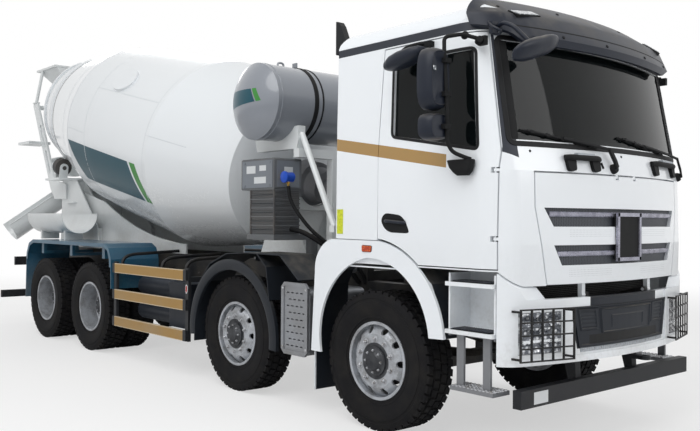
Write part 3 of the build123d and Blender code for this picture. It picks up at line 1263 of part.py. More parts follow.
def cab_pieces():
    leaf, pane, mirror_arm = door(), door_glass(), door_mirror()
    return {
        "cab_shell": [cab_shell()],
        "windscreen": [windscreen()],
        "front_panel": [front_panel()],
        "door_left": [leaf],
        "door_right": [mirrored(leaf)],
        "door_glass_left": [pane],
        "door_glass_right": [mirrored(pane)],
        "roof_visor": [visor() + corner_mirror()],
        "cab_interior": [seat(620), seat(-620), dashboard(), steering_wheel()],
        "mirrors_left": [mirror_arm],
        "mirrors_right": [mirrored(mirror_arm)],
        "air_intake": [air_intake()],
    }


if __name__ == "__main__":
    os.makedirs("parts", exist_ok=True)
    for make in (wheel_pieces, chassis_pieces, mixer_pieces, cab_pieces):
        for name, solids in make().items():
            placed = [Pos(ORIGIN_SHIFT, 0, 0) * solid for solid in solids]
            shape = placed[0] if len(placed) == 1 else Compound(children=placed)
            export_step(shape, f"parts/{name}.step")
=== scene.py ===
from math import atan2, cos, hypot, pi, radians, sin

import bmesh
import bpy
from mathutils import Matrix, Vector
from mathutils.bvhtree import BVHTree


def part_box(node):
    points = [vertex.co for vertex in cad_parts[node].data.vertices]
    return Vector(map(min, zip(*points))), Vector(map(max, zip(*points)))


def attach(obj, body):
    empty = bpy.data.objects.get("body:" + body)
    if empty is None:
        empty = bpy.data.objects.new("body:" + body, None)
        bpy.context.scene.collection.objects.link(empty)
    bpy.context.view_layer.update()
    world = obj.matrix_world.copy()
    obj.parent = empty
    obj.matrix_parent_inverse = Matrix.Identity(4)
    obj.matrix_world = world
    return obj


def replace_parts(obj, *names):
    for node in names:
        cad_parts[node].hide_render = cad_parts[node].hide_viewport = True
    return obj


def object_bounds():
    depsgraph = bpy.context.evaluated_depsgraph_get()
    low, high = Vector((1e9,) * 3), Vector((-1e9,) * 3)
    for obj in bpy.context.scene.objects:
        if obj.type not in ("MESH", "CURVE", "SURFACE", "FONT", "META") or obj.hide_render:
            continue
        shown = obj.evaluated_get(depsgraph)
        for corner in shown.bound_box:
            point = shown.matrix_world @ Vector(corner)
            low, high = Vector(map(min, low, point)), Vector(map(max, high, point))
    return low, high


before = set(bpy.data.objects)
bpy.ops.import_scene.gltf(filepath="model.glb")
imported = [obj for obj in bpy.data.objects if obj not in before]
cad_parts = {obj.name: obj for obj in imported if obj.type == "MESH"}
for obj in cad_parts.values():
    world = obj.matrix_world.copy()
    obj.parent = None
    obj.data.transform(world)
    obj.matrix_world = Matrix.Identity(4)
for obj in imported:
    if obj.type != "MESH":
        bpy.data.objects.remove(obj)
cad_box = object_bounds()


# Studio: a pale floor with a soft shadow, three broad soft boxes, and the camera at head height
# off the truck's right front corner. Lengths on the truck are taken from the first axle, where
# its builder measures them from, so FIRST is that axle's place along the frame.
FIRST = (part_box("tyre_1_left")[0][0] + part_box("tyre_1_left")[1][0]) / 2
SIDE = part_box("cab_shell")[1][1]
GROUND = cad_box[0][2]
FLOOR_HALF = 60


def at(x, y, z):
    """A point on the truck, measured from the first axle on the ground."""
    return Vector((FIRST + x, y, z))


def rect(a, b):
    """The corners of a flat rectangle with half sizes a and b."""
    return [(-a, -b), (a, -b), (a, b), (-a, b)]


def colour(red, green, blue):
    """A display colour, 0 to 255 for each part, as the light it stands for."""
    return (*[((c / 255 + 0.055) / 1.055) ** 2.4 if c > 10 else c / 255 / 12.92
              for c in (red, green, blue)], 1)


def sum_of(operation, swapped=False):
    """An operator of Wire: a Math node that takes the wire and the other value."""
    def apply(self, other):
        return self.nodes.math(operation, *((other, self) if swapped else (self, other)))
    return apply


class Wire:
    """A shader socket that can be used in sums and comparisons; a | b is the larger one."""

    def __init__(self, nodes, socket):
        self.nodes, self.socket = nodes, socket

    __add__ = __radd__ = sum_of("ADD")
    __mul__ = __rmul__ = sum_of("MULTIPLY")
    __sub__, __rsub__, __pow__ = sum_of("SUBTRACT"), sum_of("SUBTRACT", True), sum_of("POWER")
    __gt__, __lt__, __or__ = sum_of("GREATER_THAN"), sum_of("LESS_THAN"), sum_of("MAXIMUM")

    def __abs__(self):
        return self.nodes.math("ABSOLUTE", self)

    def within(self, low, high):
        return (self > low) * (self < high)


class Nodes:
    """A shader tree in the making."""

    def __init__(self, tree):
        self.tree = tree

    def node(self, kind, settings=None, inputs=None, out=0):
        """Adds a node: its settings first, then the values or links of its sockets."""
        made = self.tree.nodes.new(kind)
        for key, value in (settings or {}).items():
            setattr(made, key, value)
        for key, value in (inputs or {}).items():
            self.feed(made.inputs[key], value)
        return Wire(self, made.outputs[out])

    def feed(self, socket, value):
        """Gives a socket a wire, a plain value, or three numbers that are a display colour."""
        if isinstance(value, Wire):
            self.tree.links.new(value.socket, socket)
        else:
            socket.default_value = colour(*value) if isinstance(value, tuple) and len(value) == 3 else value

    def math(self, operation, *values):
        return self.node("ShaderNodeMath", {"operation": operation}, dict(enumerate(values)))


class Finish(Nodes):
    """A material: its shader, and the place on the truck as the wires x, y and z."""

    def __init__(self, name, **shader):
        self.material = bpy.data.materials.new(name)
        self.material.use_nodes = True
        super().__init__(self.material.node_tree)
        self.shader = self.tree.nodes["Principled BSDF"]
        for socket, value in shader.items():
            self.set(socket.replace("_", " ").title().replace("Ior", "IOR"), value)
        self.place = self.node("ShaderNodeTexCoord", out="Object")
        self.x, self.y, self.z = self.parts(self.place)

    def parts(self, vector):
        return [Wire(self, s)
                for s in self.node("ShaderNodeSeparateXYZ", None, {0: vector}).socket.node.outputs]

    def noise(self, scale, detail):
        inputs = {"Vector": self.place, "Scale": scale, "Detail": detail, "Roughness": 0.55}
        return self.node("ShaderNodeTexNoise", None, inputs)

    def cells(self, scale):
        return self.node("ShaderNodeTexVoronoi", None, {"Vector": self.place, "Scale": scale}, "Distance")

    def waves(self, direction, scale, distortion=0.0):
        inputs = {"Vector": self.place, "Scale": scale, "Distortion": distortion}
        return self.node("ShaderNodeTexWave", {"bands_direction": direction}, inputs)

    def smooth(self, value, low, high):
        """0 below low, 1 above high, and an even climb between them."""
        settings = {"interpolation_type": "SMOOTHSTEP"}
        return self.node("ShaderNodeMapRange", settings, {"Value": value, "From Min": low, "From Max": high})

    def mix(self, share, first, second):
        """A colour that goes from first to second."""
        return self.node("ShaderNodeMix", {"data_type": "RGBA"}, {"Factor": share, 6: first, 7: second}, 2)

    def set(self, socket, value):
        self.feed(self.shader.inputs[socket], value)

    def bump(self, height, strength, distance):
        inputs = {"Height": height, "Strength": strength, "Distance": distance}
        self.set("Normal", self.node("ShaderNodeBump", None, inputs))


def studio_light(name, place, aim, size, power):
    lamp = bpy.data.lights.new(name, "AREA")
    lamp.shape, lamp.size, lamp.energy = "DISK", size, power
    holder = bpy.data.objects.new(name, lamp)
    holder.location = place
    holder.rotation_euler = (aim - place).to_track_quat("-Z", "Y").to_euler()
    bpy.context.scene.collection.objects.link(holder)


lens = bpy.data.cameras.new("camera")
lens.lens, lens.sensor_width = 41.79, 36
lens.shift_x, lens.shift_y = 0.0834, 0.0049
camera = bpy.data.objects.new("camera", lens)
camera.location = at(4.402, -5.562, 1.604)
camera.rotation_euler = (pi / 2 + 0.0014, -0.0069, 0.8887)
bpy.context.scene.collection.objects.link(camera)
bpy.context.scene.camera = camera
bpy.context.scene.view_settings.view_transform = "Standard"

studio_light("overhead_box", at(1.5, -7.5, 9.5), at(-2.5, 0, 1.5), 9.0, 640)
studio_light("front_box", at(9.5, 2.5, 5.5), at(0.5, 0, 1.6), 6.0, 210)
studio_light("rear_box", at(-14, 5, 7), at(-5, 0, 2), 6.0, 210)

world = bpy.data.worlds.new("studio")
world.use_nodes = True
bpy.context.scene.world = world
sky = Nodes(world.node_tree)
air = sky.tree.nodes["Background"].inputs
direct, through, glossy = [sky.node("ShaderNodeLightPath", out=f"Is {ray} Ray")
                           for ray in ("Camera", "Transmission", "Glossy")]
sky.feed(air["Strength"], 0.5 + (direct | through | glossy) * 0.5)
sky.feed(air["Color"], (1, 1, 1, 1))

floor_mesh = bpy.data.meshes.new("floor")
floor_mesh.from_pydata([(x, y, GROUND) for x, y in rect(FLOOR_HALF, FLOOR_HALF)], [], [(0, 1, 2, 3)])
floor = bpy.data.objects.new("floor", floor_mesh)
bpy.context.scene.collection.objects.link(floor)
paper = Finish("floor_paper", roughness=0.9, base_color=(0.9, 0.9, 0.9, 1), emission_color=(1, 1, 1, 1),
               emission_strength=0.0)
spread = paper.node("ShaderNodeVectorMath", {"operation": "LENGTH"}, {0: paper.place}, "Value")
seen_directly = paper.node("ShaderNodeLightPath", out="Is Camera Ray")
white = paper.node("ShaderNodeEmission", None, {"Color": (1, 1, 1, 1), "Strength": 1.0})
share = (0.55 + paper.smooth(spread, 7.0, 16.0) * 0.45) * seen_directly
blend = paper.node("ShaderNodeMixShader", None, {0: share, 1: Wire(paper, paper.shader.outputs[0]), 2: white})
paper.feed(paper.tree.nodes["Material Output"].inputs["Surface"], blend)
floor_mesh.materials.append(paper.material)


# Cab shell and doors: pressed steel in white two-layer paint, with a gold stripe along each side
# under the windows. Road dust gathers low down; the panel gaps are the real ones between the parts.
WHITE = (232, 236, 240)
GOLD = (158, 122, 58)
DUST = (150, 143, 130)
CHARCOAL = (30, 35, 46)
SIDES = (("left", 1), ("right", -1))


def painted(name, base, rough=0.22, dirt=0.35, dirt_top=1.6, **shader):
    """Glossy paint with a faint orange-peel skin, and dust that thins out towards dirt_top."""
    paint = Finish(name, **{"coat_weight": 0.6, "coat_roughness": 0.06, **shader})
    cloud, grains = paint.noise(2.3, 6), paint.noise(38, 3)
    low = 1 - paint.smooth(paint.z, 0.35, dirt_top)
    film = paint.smooth(cloud * 0.75 + grains * 0.35, 0.42, 0.78) * low * dirt
    paint.set("Base Color", paint.mix(film, base, DUST))
    paint.set("Roughness", rough + film * 0.5 + (grains - 0.5) * 0.05)
    paint.bump(paint.noise(900, 2), 0.02, 0.0002)
    return paint


def coat(finish, *nodes):
    """Gives CAD parts their finish."""
    for node in nodes:
        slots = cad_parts[node].data.materials
        slots.clear()
        slots.append(finish.material)


def tinted(finish, share, tint, flat=False):
    """Lays a second colour over a finish's own wherever share is 1; flat takes the gloss off there."""
    def held(socket):
        return Wire(finish, finish.shader.inputs[socket].links[0].from_socket)
    if flat:
        finish.set("Roughness", held("Roughness") * (1 - share) + share * 0.55)
        finish.set("Coat Weight", (1 - share) * finish.shader.inputs["Coat Weight"].default_value)
    finish.set("Base Color", finish.mix(share, held("Base Color"), tint))


cab_paint = painted("cab_white_paint", WHITE)
along, across, up = cab_paint.x - FIRST, abs(cab_paint.y), cab_paint.z
tinted(cab_paint, (up + along * 0.1655).within(2.094, 2.186) * (along < 0.747) * (across > SIDE - 0.06), GOLD)
pillar = (along + up * 0.1642 > 1.494) * up.within(2.072, 2.95) * (across > 1.105)
pillar_foot = (along > 1.15) * (up > 2.072 - (1.19 - across) * 0.38) * (across > 1.06) * (up < 2.2)
roof_rail = up.within(2.887, 2.946) * (across > SIDE - 0.12)
tinted(cab_paint, pillar | pillar_foot | roof_rail, CHARCOAL, True)
coat(cab_paint, "cab_shell", "door_left", "door_right")


# Window glass: tinted safety glass. It is nearly black from outside by day, and lets the dashboard
# and the steering wheel show faintly. A printed black border runs round the windscreen.
def glazed(name):
    """Tinted glass with faint wiped streaks; returns the finish and how much it hides."""
    pane = Finish(name, specular_ior_level=0.18)
    streak = pane.noise(3.1, 5)
    pane.set("Base Color", pane.mix(streak, (8, 11, 12), (13, 18, 19)))
    pane.set("Roughness", 0.02 + pane.smooth(streak, 0.5, 0.8) * 0.06)
    return pane, 0.86 + streak * 0.08


glass, dim = glazed("tinted_glass")
glass.set("Alpha", dim)
screen_glass, screen_dim = glazed("windscreen_glass")
fade = screen_glass.z + (screen_glass.noise(420, 0) - 0.5) * 0.016
border = (screen_glass.smooth(fade, 2.19, 2.165) | screen_glass.smooth(fade, 2.79, 2.81)
          | screen_glass.smooth(abs(screen_glass.y), 1.045, 1.06))
screen_glass.set("Alpha", screen_dim + (1 - screen_dim) * border)
coat(screen_glass, "windscreen")
coat(glass, "door_glass_left", "door_glass_right")


# Dark moulded plastic: visor, mirrors, air intake and other trim. It has a fine grain and a dull
# sheen, paler where dust lies on its upper faces.
def moulded(name, base, grain=600, rough=0.5, dust=0.3):
    plastic = Finish(name, specular_ior_level=0.25)
    cloud = plastic.noise(5, 5)
    upward = plastic.parts(plastic.node("ShaderNodeNewGeometry", out="Normal"))[2]
    lying = plastic.smooth(upward, 0.2, 0.95) * plastic.smooth(cloud, 0.35, 0.75) * dust
    plastic.set("Base Color", plastic.mix(lying, base, DUST))
    plastic.set("Roughness", rough + (cloud - 0.5) * 0.16 + lying * 0.3)
    plastic.bump(plastic.noise(grain, 2), 0.12, 0.0004)
    return plastic


trim = moulded("charcoal_plastic", CHARCOAL, rough=0.38)
black_plastic = moulded("black_plastic", (24, 26, 29), rough=0.55)
coat(black_plastic, "air_intake")


# Tyres: black rubber carcass with raised rings on the sidewall, and a tread of four rows of blocks
# that Geometry Nodes set round the crown. Each tyre stands for its plain CAD solid.
TYRE_R = (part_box("tyre_1_left")[1][2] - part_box("tyre_1_left")[0][2]) / 2
TYRE_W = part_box("tyre_1_left")[1][1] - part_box("tyre_1_left")[0][1]
BEAD_R = 0.291
GROOVE = 0.015
FLOOR_R = TYRE_R - GROOVE            # where the tread's grooves end
SHOULDER_DROP = 0.0045
TYRE_STEPS = 96
BLOCKS = 46
ROWS = ((-0.106, 0.048, 0.0, -1), (-0.036, 0.056, 0.5, 0), (0.036, 0.056, 0.0, 0), (0.106, 0.048, 0.5, 1))

rubber = Finish("tyre_rubber", specular_ior_level=0.18)
fine = rubber.noise(220, 3)
wear = rubber.smooth(rubber.noise(7, 6) * 0.7 + fine * 0.4, 0.45, 0.8)
rubber.set("Base Color", rubber.mix(wear * 0.25, (14, 14, 17), (70, 67, 62)))
rubber.set("Roughness", 0.72 + wear * 0.2)
rubber.bump(fine, 0.25, 0.0006)

half = TYRE_W / 2
flank = [(0.112, BEAD_R), (0.124, BEAD_R + 0.012), (0.128, BEAD_R + 0.034), (0.1335, BEAD_R + 0.036),
         (0.136, BEAD_R + 0.046), (0.1345, BEAD_R + 0.049), (0.143, 0.372), (half - 0.003, 0.402),
         (half, 0.425), (half - 0.002, 0.452), (half - 0.006, 0.455), (half - 0.0085, 0.474),
         (half - 0.005, 0.477), (0.141, 0.498), (0.133, FLOOR_R - 0.006), (0.07, FLOOR_R + 0.001)]
tyre_section = [*flank, (0.0, FLOOR_R + 0.0025), *[(-y, r) for y, r in reversed(flank)],
                (-0.095, BEAD_R - 0.004), (0.095, BEAD_R - 0.004)]


def join_rings(shape, rings, closed=False):
    """Faces between rings of points that follow each other; an open run gets flat ends."""
    for here, there in zip(rings, rings[1:] + rings[:1] if closed else rings[1:]):
        for corners in zip(here, here[1:] + here[:1], there[1:] + there[:1], there):
            shape.faces.new(corners)
    if not closed:
        shape.faces.new(rings[0][::-1])
        shape.faces.new(rings[-1])


def plain(name, shape):
    """The shape as a mesh."""
    mesh = bpy.data.meshes.new(name)
    shape.to_mesh(mesh)
    shape.free()
    return mesh


def block_mesh(name, width, shoulder):
    """One tread block about the origin: X out of the tyre, Y round it, Z across it."""
    shape = bmesh.new()
    long, deep, lean = 2 * pi * TYRE_R / BLOCKS * 0.72, GROOVE + 0.012, 0.006
    corners = []
    for out, scale in ((-deep, 1.12), (0.0, 1.0)):
        for y, z in rect(1, 1):
            drop = SHOULDER_DROP if z * shoulder > 0 and out == 0 else 0.0
            corners.append(shape.verts.new((out - drop, y * long / 2 * scale + z * lean,
                                            z * width / 2 * scale)))
    for face in ((3, 2, 1, 0), (4, 5, 6, 7), (0, 1, 5, 4), (1, 2, 6, 5), (2, 3, 7, 6), (3, 0, 4, 7)):
        shape.faces.new([corners[i] for i in face])
    return plain(name, shape)


def places_tree():
    """Geometry Nodes that set a copy of an object at each point, turned by the point's own turn."""
    tree = bpy.data.node_groups.new("set_at_places", "GeometryNodeTree")
    for label, kind in (("Geometry", "Geometry"), ("Piece", "Object"), ("Finish", "Material")):
        tree.interface.new_socket(label, in_out="INPUT", socket_type=f"NodeSocket{kind}")
    tree.interface.new_socket("Geometry", in_out="OUTPUT", socket_type="NodeSocketGeometry")
    given, result = tree.nodes.new("NodeGroupInput"), tree.nodes.new("NodeGroupOutput")
    piece, turned, points, copies, real, dress = [
        tree.nodes.new(f"GeometryNode{kind}")
        for kind in ("ObjectInfo", "InputNamedAttribute", "MeshToPoints", "InstanceOnPoints",
                     "RealizeInstances", "SetMaterial")]
    turned.data_type = "FLOAT_VECTOR"
    turned.inputs["Name"].default_value = "turn"
    for source, sink in ((given.outputs["Piece"], piece.inputs["Object"]),
                         (given.outputs["Geometry"], points.inputs[0]),
                         (points.outputs[0], copies.inputs["Points"]),
                         (turned.outputs[0], copies.inputs["Rotation"]),
                         (piece.outputs["Geometry"], copies.inputs["Instance"]),
                         (copies.outputs[0], real.inputs[0]),
                         (real.outputs[0], dress.inputs["Geometry"]), (dress.outputs[0], result.inputs[0]),
                         (given.outputs["Finish"], dress.inputs["Material"])):
        tree.links.new(source, sink)
    return tree


places_nodes = places_tree()
places_input = {item.name: item.identifier
                for item in places_nodes.interface.items_tree if item.in_out == "INPUT"}


def set_at(mesh, places, finish):
    """Copies of a mesh at a list of matrices, as one plain mesh."""
    points = bpy.data.meshes.new("places")
    points.from_pydata([tuple(m.to_translation()) for m in places], [], [])
    turns = points.attributes.new("turn", "FLOAT_VECTOR", "POINT")
    for item, m in zip(turns.data, places):
        item.vector = tuple(m.to_euler())
    piece, holder = bpy.data.objects.new("piece_holder", mesh), bpy.data.objects.new("places_holder", points)
    modifier = holder.modifiers.new("places", "NODES")
    modifier.node_group = places_nodes
    modifier[places_input["Piece"]] = piece
    modifier[places_input["Finish"]] = finish.material
    bpy.context.scene.collection.objects.link(holder)
    bpy.context.view_layer.update()
    made = bpy.data.meshes.new_from_object(holder.evaluated_get(bpy.context.evaluated_depsgraph_get()))
    bpy.data.objects.remove(holder)
    bpy.data.objects.remove(piece)
    return made


def set_round(mesh, count, radius, turn, finish):
    """Copies of a mesh round a ring about Z, as one plain mesh."""
    return set_at(mesh, [
        Matrix.Rotation(turn + 2 * pi * i / count, 4, "Z") @ Matrix.Translation((radius, 0, 0))
        for i in range(count)], finish)


def add_mesh(shape, mesh, place):
    before = len(shape.verts)
    shape.from_mesh(mesh)
    shape.verts.ensure_lookup_table()
    bmesh.ops.transform(shape, matrix=place, verts=shape.verts[before:])


def finished(name, shape, finish, body="chassis", sharp=32):
    """Makes a piece of the shape, smooth up to the sharp angle, and fixes it to its body."""
    bmesh.ops.remove_doubles(shape, verts=shape.verts, dist=1e-6)
    bmesh.ops.recalc_face_normals(shape, faces=shape.faces)
    mesh = plain(name, shape)
    mesh.shade_smooth()
    mesh.set_sharp_from_angle(angle=radians(sharp))
    made = bpy.data.objects.new(name, mesh)
    bpy.context.scene.collection.objects.link(made)
    mesh.materials.append(finish.material)
    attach(made, body)
    return made


tread_rings = [
    set_round(block_mesh(f"tread_block_{i}", width, shoulder), BLOCKS, TYRE_R - 0.001,
              phase * 2 * pi / BLOCKS, rubber) for i, (_, width, phase, shoulder) in enumerate(ROWS)]


def add_tyre(shape, x, y, z):
    """One tyre about an axle along Y: its section turned round, and the four rings of tread."""
    turns = [2 * pi * i / TYRE_STEPS for i in range(TYRE_STEPS)]
    join_rings(shape, [[shape.verts.new((x + r * cos(a), y + across, z + r * sin(a)))
                        for across, r in tyre_section] for a in turns], closed=True)
    for ring, row in zip(tread_rings, ROWS):
        add_mesh(shape, ring, Matrix.Translation((x, y + row[0], z)) @ Matrix.Rotation(pi / 2, 4, "X"))


def middle(node):
    low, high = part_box(node)
    return [(a + b) / 2 for a, b in zip(low, high)]


for end, _ in SIDES:
    for axle, kind in ((1, "tyre"), (2, "tyre"), (3, "tyres"), (4, "tyres")):
        node = f"{kind}_{axle}_{end}"
        apart = (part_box(node)[1][1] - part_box(node)[0][1] - TYRE_W) / 2
        shape = bmesh.new()
        x, y, z = middle(node)
        for way in (-1, 1) if kind == "tyres" else (0,):
            add_tyre(shape, x, y + way * apart, z)
        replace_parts(finished(f"tread_{node}", shape, rubber, f"wheel_{axle}_{end}"), node)


# Disc wheels: pressed steel in silver enamel, dusty in the folds, held by a ring of capped nuts.
# The hub's cap is dark.
def rim_enamel(name, centre):
    """Silver enamel with brake dust round the hub, and a dusty film further out."""
    enamel = Finish(name, metallic=0.35)
    cloud, speck = enamel.noise(9, 5), enamel.noise(90, 3)
    reach = ((enamel.x - centre[0]) ** 2 + (enamel.z - centre[2]) ** 2) ** 0.5
    soot = enamel.smooth(cloud * 0.8 + speck * 0.35, 0.45, 0.8)
    enamel.set("Base Color", enamel.mix(soot * 0.6, (176, 180, 186), (92, 88, 82)))
    hub = enamel.smooth(reach + (speck - 0.5) * 0.006, 0.143, 0.137)
    tinted(enamel, hub * (0.8 + cloud * 0.3), (40, 42, 46))
    enamel.set("Roughness", 0.3 + soot * 0.4)
    enamel.bump(speck, 0.06, 0.0005)
    return enamel


for rim in ("rim_1", "rim_2", "rims_3", "rims_4"):
    coat(rim_enamel(f"{rim}_enamel", middle(f"{rim}_left")), f"{rim}_left", f"{rim}_right")


# Chassis, axles and springs: black enamel over heavy steel, dulled by road film, with bare scuffs.
# The drivetrain, knuckles and rollers are cast iron.
def enamelled(name, base, film_colour, film=0.5, rough=0.45, metal=0.0):
    """Thin machine enamel: road film in clouds, heavier towards the ground, and a fine cast grain."""
    paint = Finish(name, metallic=metal, specular_ior_level=0.28)
    cloud, grain = paint.noise(3.5, 6), paint.noise(140, 3)
    low = 1.15 - paint.smooth(paint.z, 0.2, 1.7) * 0.6
    share = paint.smooth(cloud * 0.8 + grain * 0.3, 0.4, 0.8) * film * low
    paint.set("Base Color", paint.mix(share, base, film_colour))
    paint.set("Roughness", rough + share * 0.4)
    paint.bump(grain, 0.12, 0.0006)
    return paint


coat(enamelled("chassis_enamel", (30, 31, 34), (110, 103, 92), 0.45),
     "frame_rails", "axles", "leaf_springs", "mixer_subframe")
cast = enamelled("cast_iron", (78, 79, 82), (120, 108, 92), 0.6, 0.6, 0.4)
coat(cast, "drivetrain", "roller_left", "roller_right", "knuckle_1_left", "knuckle_2_left", "knuckle_1_right",
     "knuckle_2_right")


# Front service panel: painted with the cab, with fields of small dots below its two air slots. The
# slots' floors are black expanded mesh behind a bright bar, drawn as lighter strands over a near-black that
# is painted shade in the slots' depth.
def off_centre(*places):
    """The squared distance from the middle of each cell of a unit grid."""
    u, v = [wire.nodes.math("FRACT", wire) - 0.5 for wire in places]
    return u ** 2 + v ** 2


panel_paint = painted("panel_white_paint", WHITE)
across, up, column = abs(panel_paint.y), panel_paint.z, panel_paint.y * 62.5
air_slots = (up.within(1.5721, 1.6979) * (across - up * 0.635 < -0.1985)
             | up.within(1.3121, 1.4479) * (across - up * 0.5515 < 0.0012))
strands = panel_paint.smooth(off_centre(column, up * 108 + panel_paint.math("FLOOR", column) * 0.5), 0.10,
                             0.16)
fields = (up.within(1.500, 1.560) | up.within(1.235, 1.292)) * across.within(0.2, 0.66)
tinted(panel_paint, fields * (off_centre(panel_paint.y * 70, up * 70) < 0.05) * 0.35, (120, 126, 132))
# The slots are near-black: painted shade in their depth, with the mesh strands drawn lighter over it.
tinted(panel_paint, air_slots, (12, 13, 16), True)
tinted(panel_paint, air_slots * strands, (70, 74, 82))
coat(panel_paint, "front_panel")


# Bumper: moulded in white, with a black centre moulding and cap let into it. The wire lamp guards and
# the square underrun bar below are black, and the tail lamps are red.
def mottled(name, texture, low, high, first, second, rough, climb=0.0, relief=(), **shader):
    """A finish in two colours, in clouds of (scale, detail) or in cells of (scale,)."""
    made = Finish(name, roughness=rough, **shader)
    pattern = made.noise(*texture) if len(texture) == 2 else made.cells(*texture)
    made.set("Base Color", made.mix(made.smooth(pattern, low, high), first, second))
    if climb:
        made.set("Roughness", rough + pattern * climb)
    if relief:
        made.bump(pattern, *relief)
    return made


bumper_paint = painted("bumper_white", WHITE, 0.3, 0.5, 1.2)
across, up = abs(bumper_paint.y), bumper_paint.z
centre = up.within(0.745, 1.03) * (across - up * 0.22 < 0.42) | (up > 1.005) * (across < 0.45)
tinted(bumper_paint, centre * (bumper_paint.x > FIRST + 1.25), (26, 29, 35), True)
coat(bumper_paint, "bumper")
guard_steel = enamelled("guard_steel", (22, 23, 26), (100, 94, 86), 0.25, 0.4, 0.1)
coat(guard_steel, "lamp_guards")
coat(enamelled("bar_black", (24, 26, 30), (84, 82, 80), 0.15, 0.5), "underrun_bars")
lamp_glass = mottled("lamp_glass", (26, 3), 0.4, 0.65, (214, 218, 222), (96, 100, 106), 0.06, 0.1,
                     coat_weight=1.0)
tinted(lamp_glass, lamp_glass.x < FIRST - 3.0, (150, 20, 18))
coat(lamp_glass, "lamps")


# Mudguards and steps: the front arches' broad lips and the step boxes are white, the liners and the
# second axle's guards dark, and the long rear guards blue-green steel.
arch_plastic = moulded("mudguard_plastic", (30, 34, 40), rough=0.42)
tinted(arch_plastic, (arch_plastic.x > FIRST - 0.70) * (abs(arch_plastic.y) > 1.194), WHITE)
coat(arch_plastic, "front_fenders")
guard_blue = painted("rear_guard_blue", (34, 84, 110), 0.32, 0.4, 1.5)
tinted(guard_blue, guard_blue.smooth(guard_blue.noise(1.6, 5), 0.55, 0.7) * 0.35, (70, 128, 146))
coat(guard_blue, "rear_fenders")
step_paint = painted("step_white", WHITE, 0.35, 0.7, 1.5)
tinted(step_paint, step_paint.z < 0.8395, (112, 114, 118))
coat(step_paint, "cab_steps")
board_gold = painted("board_gold", (156, 118, 44), 0.35, 0.35, 1.2, coat_weight=0.2)
outer_face, guard_x = abs(board_gold.y) > SIDE - 0.0252, board_gold.x - FIRST
for height in (0.378, 0.480, 0.688, 0.790, 0.988, 1.090):
    tinted(board_gold, (abs(board_gold.z - height) < 0.004) * outer_face * 0.6, (226, 214, 190))
tinted(board_gold, (1 - outer_face) | (guard_x > -2.664) | (guard_x < -4.158), (26, 28, 32), True)
coat(board_gold, "side_guards")


# Tanks and boxes along the frame: brushed aluminium and galvanised steel; the battery box and the air
# reservoirs on the right are dark.
silver = enamelled("aluminium_sheet", (150, 153, 158), (110, 104, 96), 0.5, 0.35, 0.7)
boxes = enamelled("box_steel", (150, 153, 158), (110, 104, 96), 0.4, 0.4)
tinted(boxes, boxes.y < 0, (36, 41, 50))
coat(boxes, "tanks_and_boxes")
coat(silver, "exhaust_box")


# Mixer: white drum, off-white stands and chutes, grey gearbox, silver-grey water tank, and the oil
# cooler in machine grey.
TANK_GREY = (128, 133, 141)
coat(painted("drum_white_paint", (226, 230, 233), 0.25, 0.25, 2.6), "drum")
coat(painted("mixer_offwhite", (222, 226, 227), 0.38, 0.45, 2.4),
     "drum_pedestals", "tank_stand", "hopper", "hopper_frame", "fixed_chutes", "chute_swivel", "swing_chute")
coat(enamelled("gearbox_grey", (120, 122, 126), (96, 88, 78), 0.5, 0.5), "drum_gearbox")
coat(painted("tank_silver_paint", TANK_GREY, 0.3, 0.3, 2.2), "water_tank")
coat(enamelled("cooler_grey", (96, 100, 104), (120, 112, 100), 0.4, 0.45), "cooler_unit")


# Cab interior: grey woven seats and a dark dashboard, seen only through the dark glass. Both are
# plain moulded forms.
cloth = Finish("seat_cloth", roughness=0.9)
weave = cloth.waves("DIAGONAL", 260.0, 1.5)
cloth.set("Base Color", cloth.mix(weave * 0.5, (52, 54, 60), (74, 76, 84)))
cloth.bump(weave, 0.3, 0.0005)
tinted(cloth, cloth.x > FIRST + 0.72, (34, 38, 46))
coat(cloth, "cab_interior")


# Wheel nuts: ten studs with flanged hexagon nuts clamp each disc wheel to its hub, and a ring of
# small bolts holds the hub's cap.
ORIGIN, UP = (0, 0, 0), (0, 0, 1)


def aimed(place, along, up=UP):
    """The turn and shift that send Z to along, with Y as near to up as it can be."""
    z = Vector(along).normalized()
    x = Vector(up).cross(z)
    x = x.normalized() if x.length > 1e-3 else Vector((1, 0, 0))
    return Matrix.Translation(place) @ Matrix((x, z.cross(x), z)).transposed().to_4x4()


def lathe(shape, profile, place=ORIGIN, along=UP, steps=24):
    """Turns an outline of (radius, height), which starts and ends on the axis, about it."""
    matrix = aimed(place, along)
    rings = [[shape.verts.new(matrix @ Vector((r * cos(2 * pi * i / steps), r * sin(2 * pi * i / steps), h)))
              for i in range(steps if r > 0 else 1)] for r, h in profile]
    for low, high in zip(rings, rings[1:]):
        for i in range(steps):
            j = (i + 1) % steps
            if len(low) == 1:
                shape.faces.new((low[0], high[j], high[i]))
            elif len(high) == 1:
                shape.faces.new((low[i], low[j], high[0]))
            else:
                shape.faces.new((low[i], low[j], high[j], high[i]))


def fastener(name, *turned):
    """A small mesh along Z, from pairs of an outline and its number of sides."""
    shape = bmesh.new()
    for profile, steps in turned:
        lathe(shape, profile, steps=steps)
    return plain(name, shape)


def nut_mesh(name, size):
    """A stud end and flanged nut, for a nut of the given size across its corners' radius."""
    sizes = (([(0, -0.004 / size), (1.35, -0.004 / size), (1.35, 0.003 / size), (1.05, 0.35), (0, 0.35)], 24),
             ([(0, 0), (1, 0), (1, 1.15), (0.86, 1.3), (0, 1.3)], 6),
             ([(0, 0), (0.55, 0), (0.55, 1.75), (0.4, 1.9), (0, 1.9)], 14))
    return fastener(name, *[([(r * size, h * size) for r, h in profile], steps) for profile, steps in sizes])


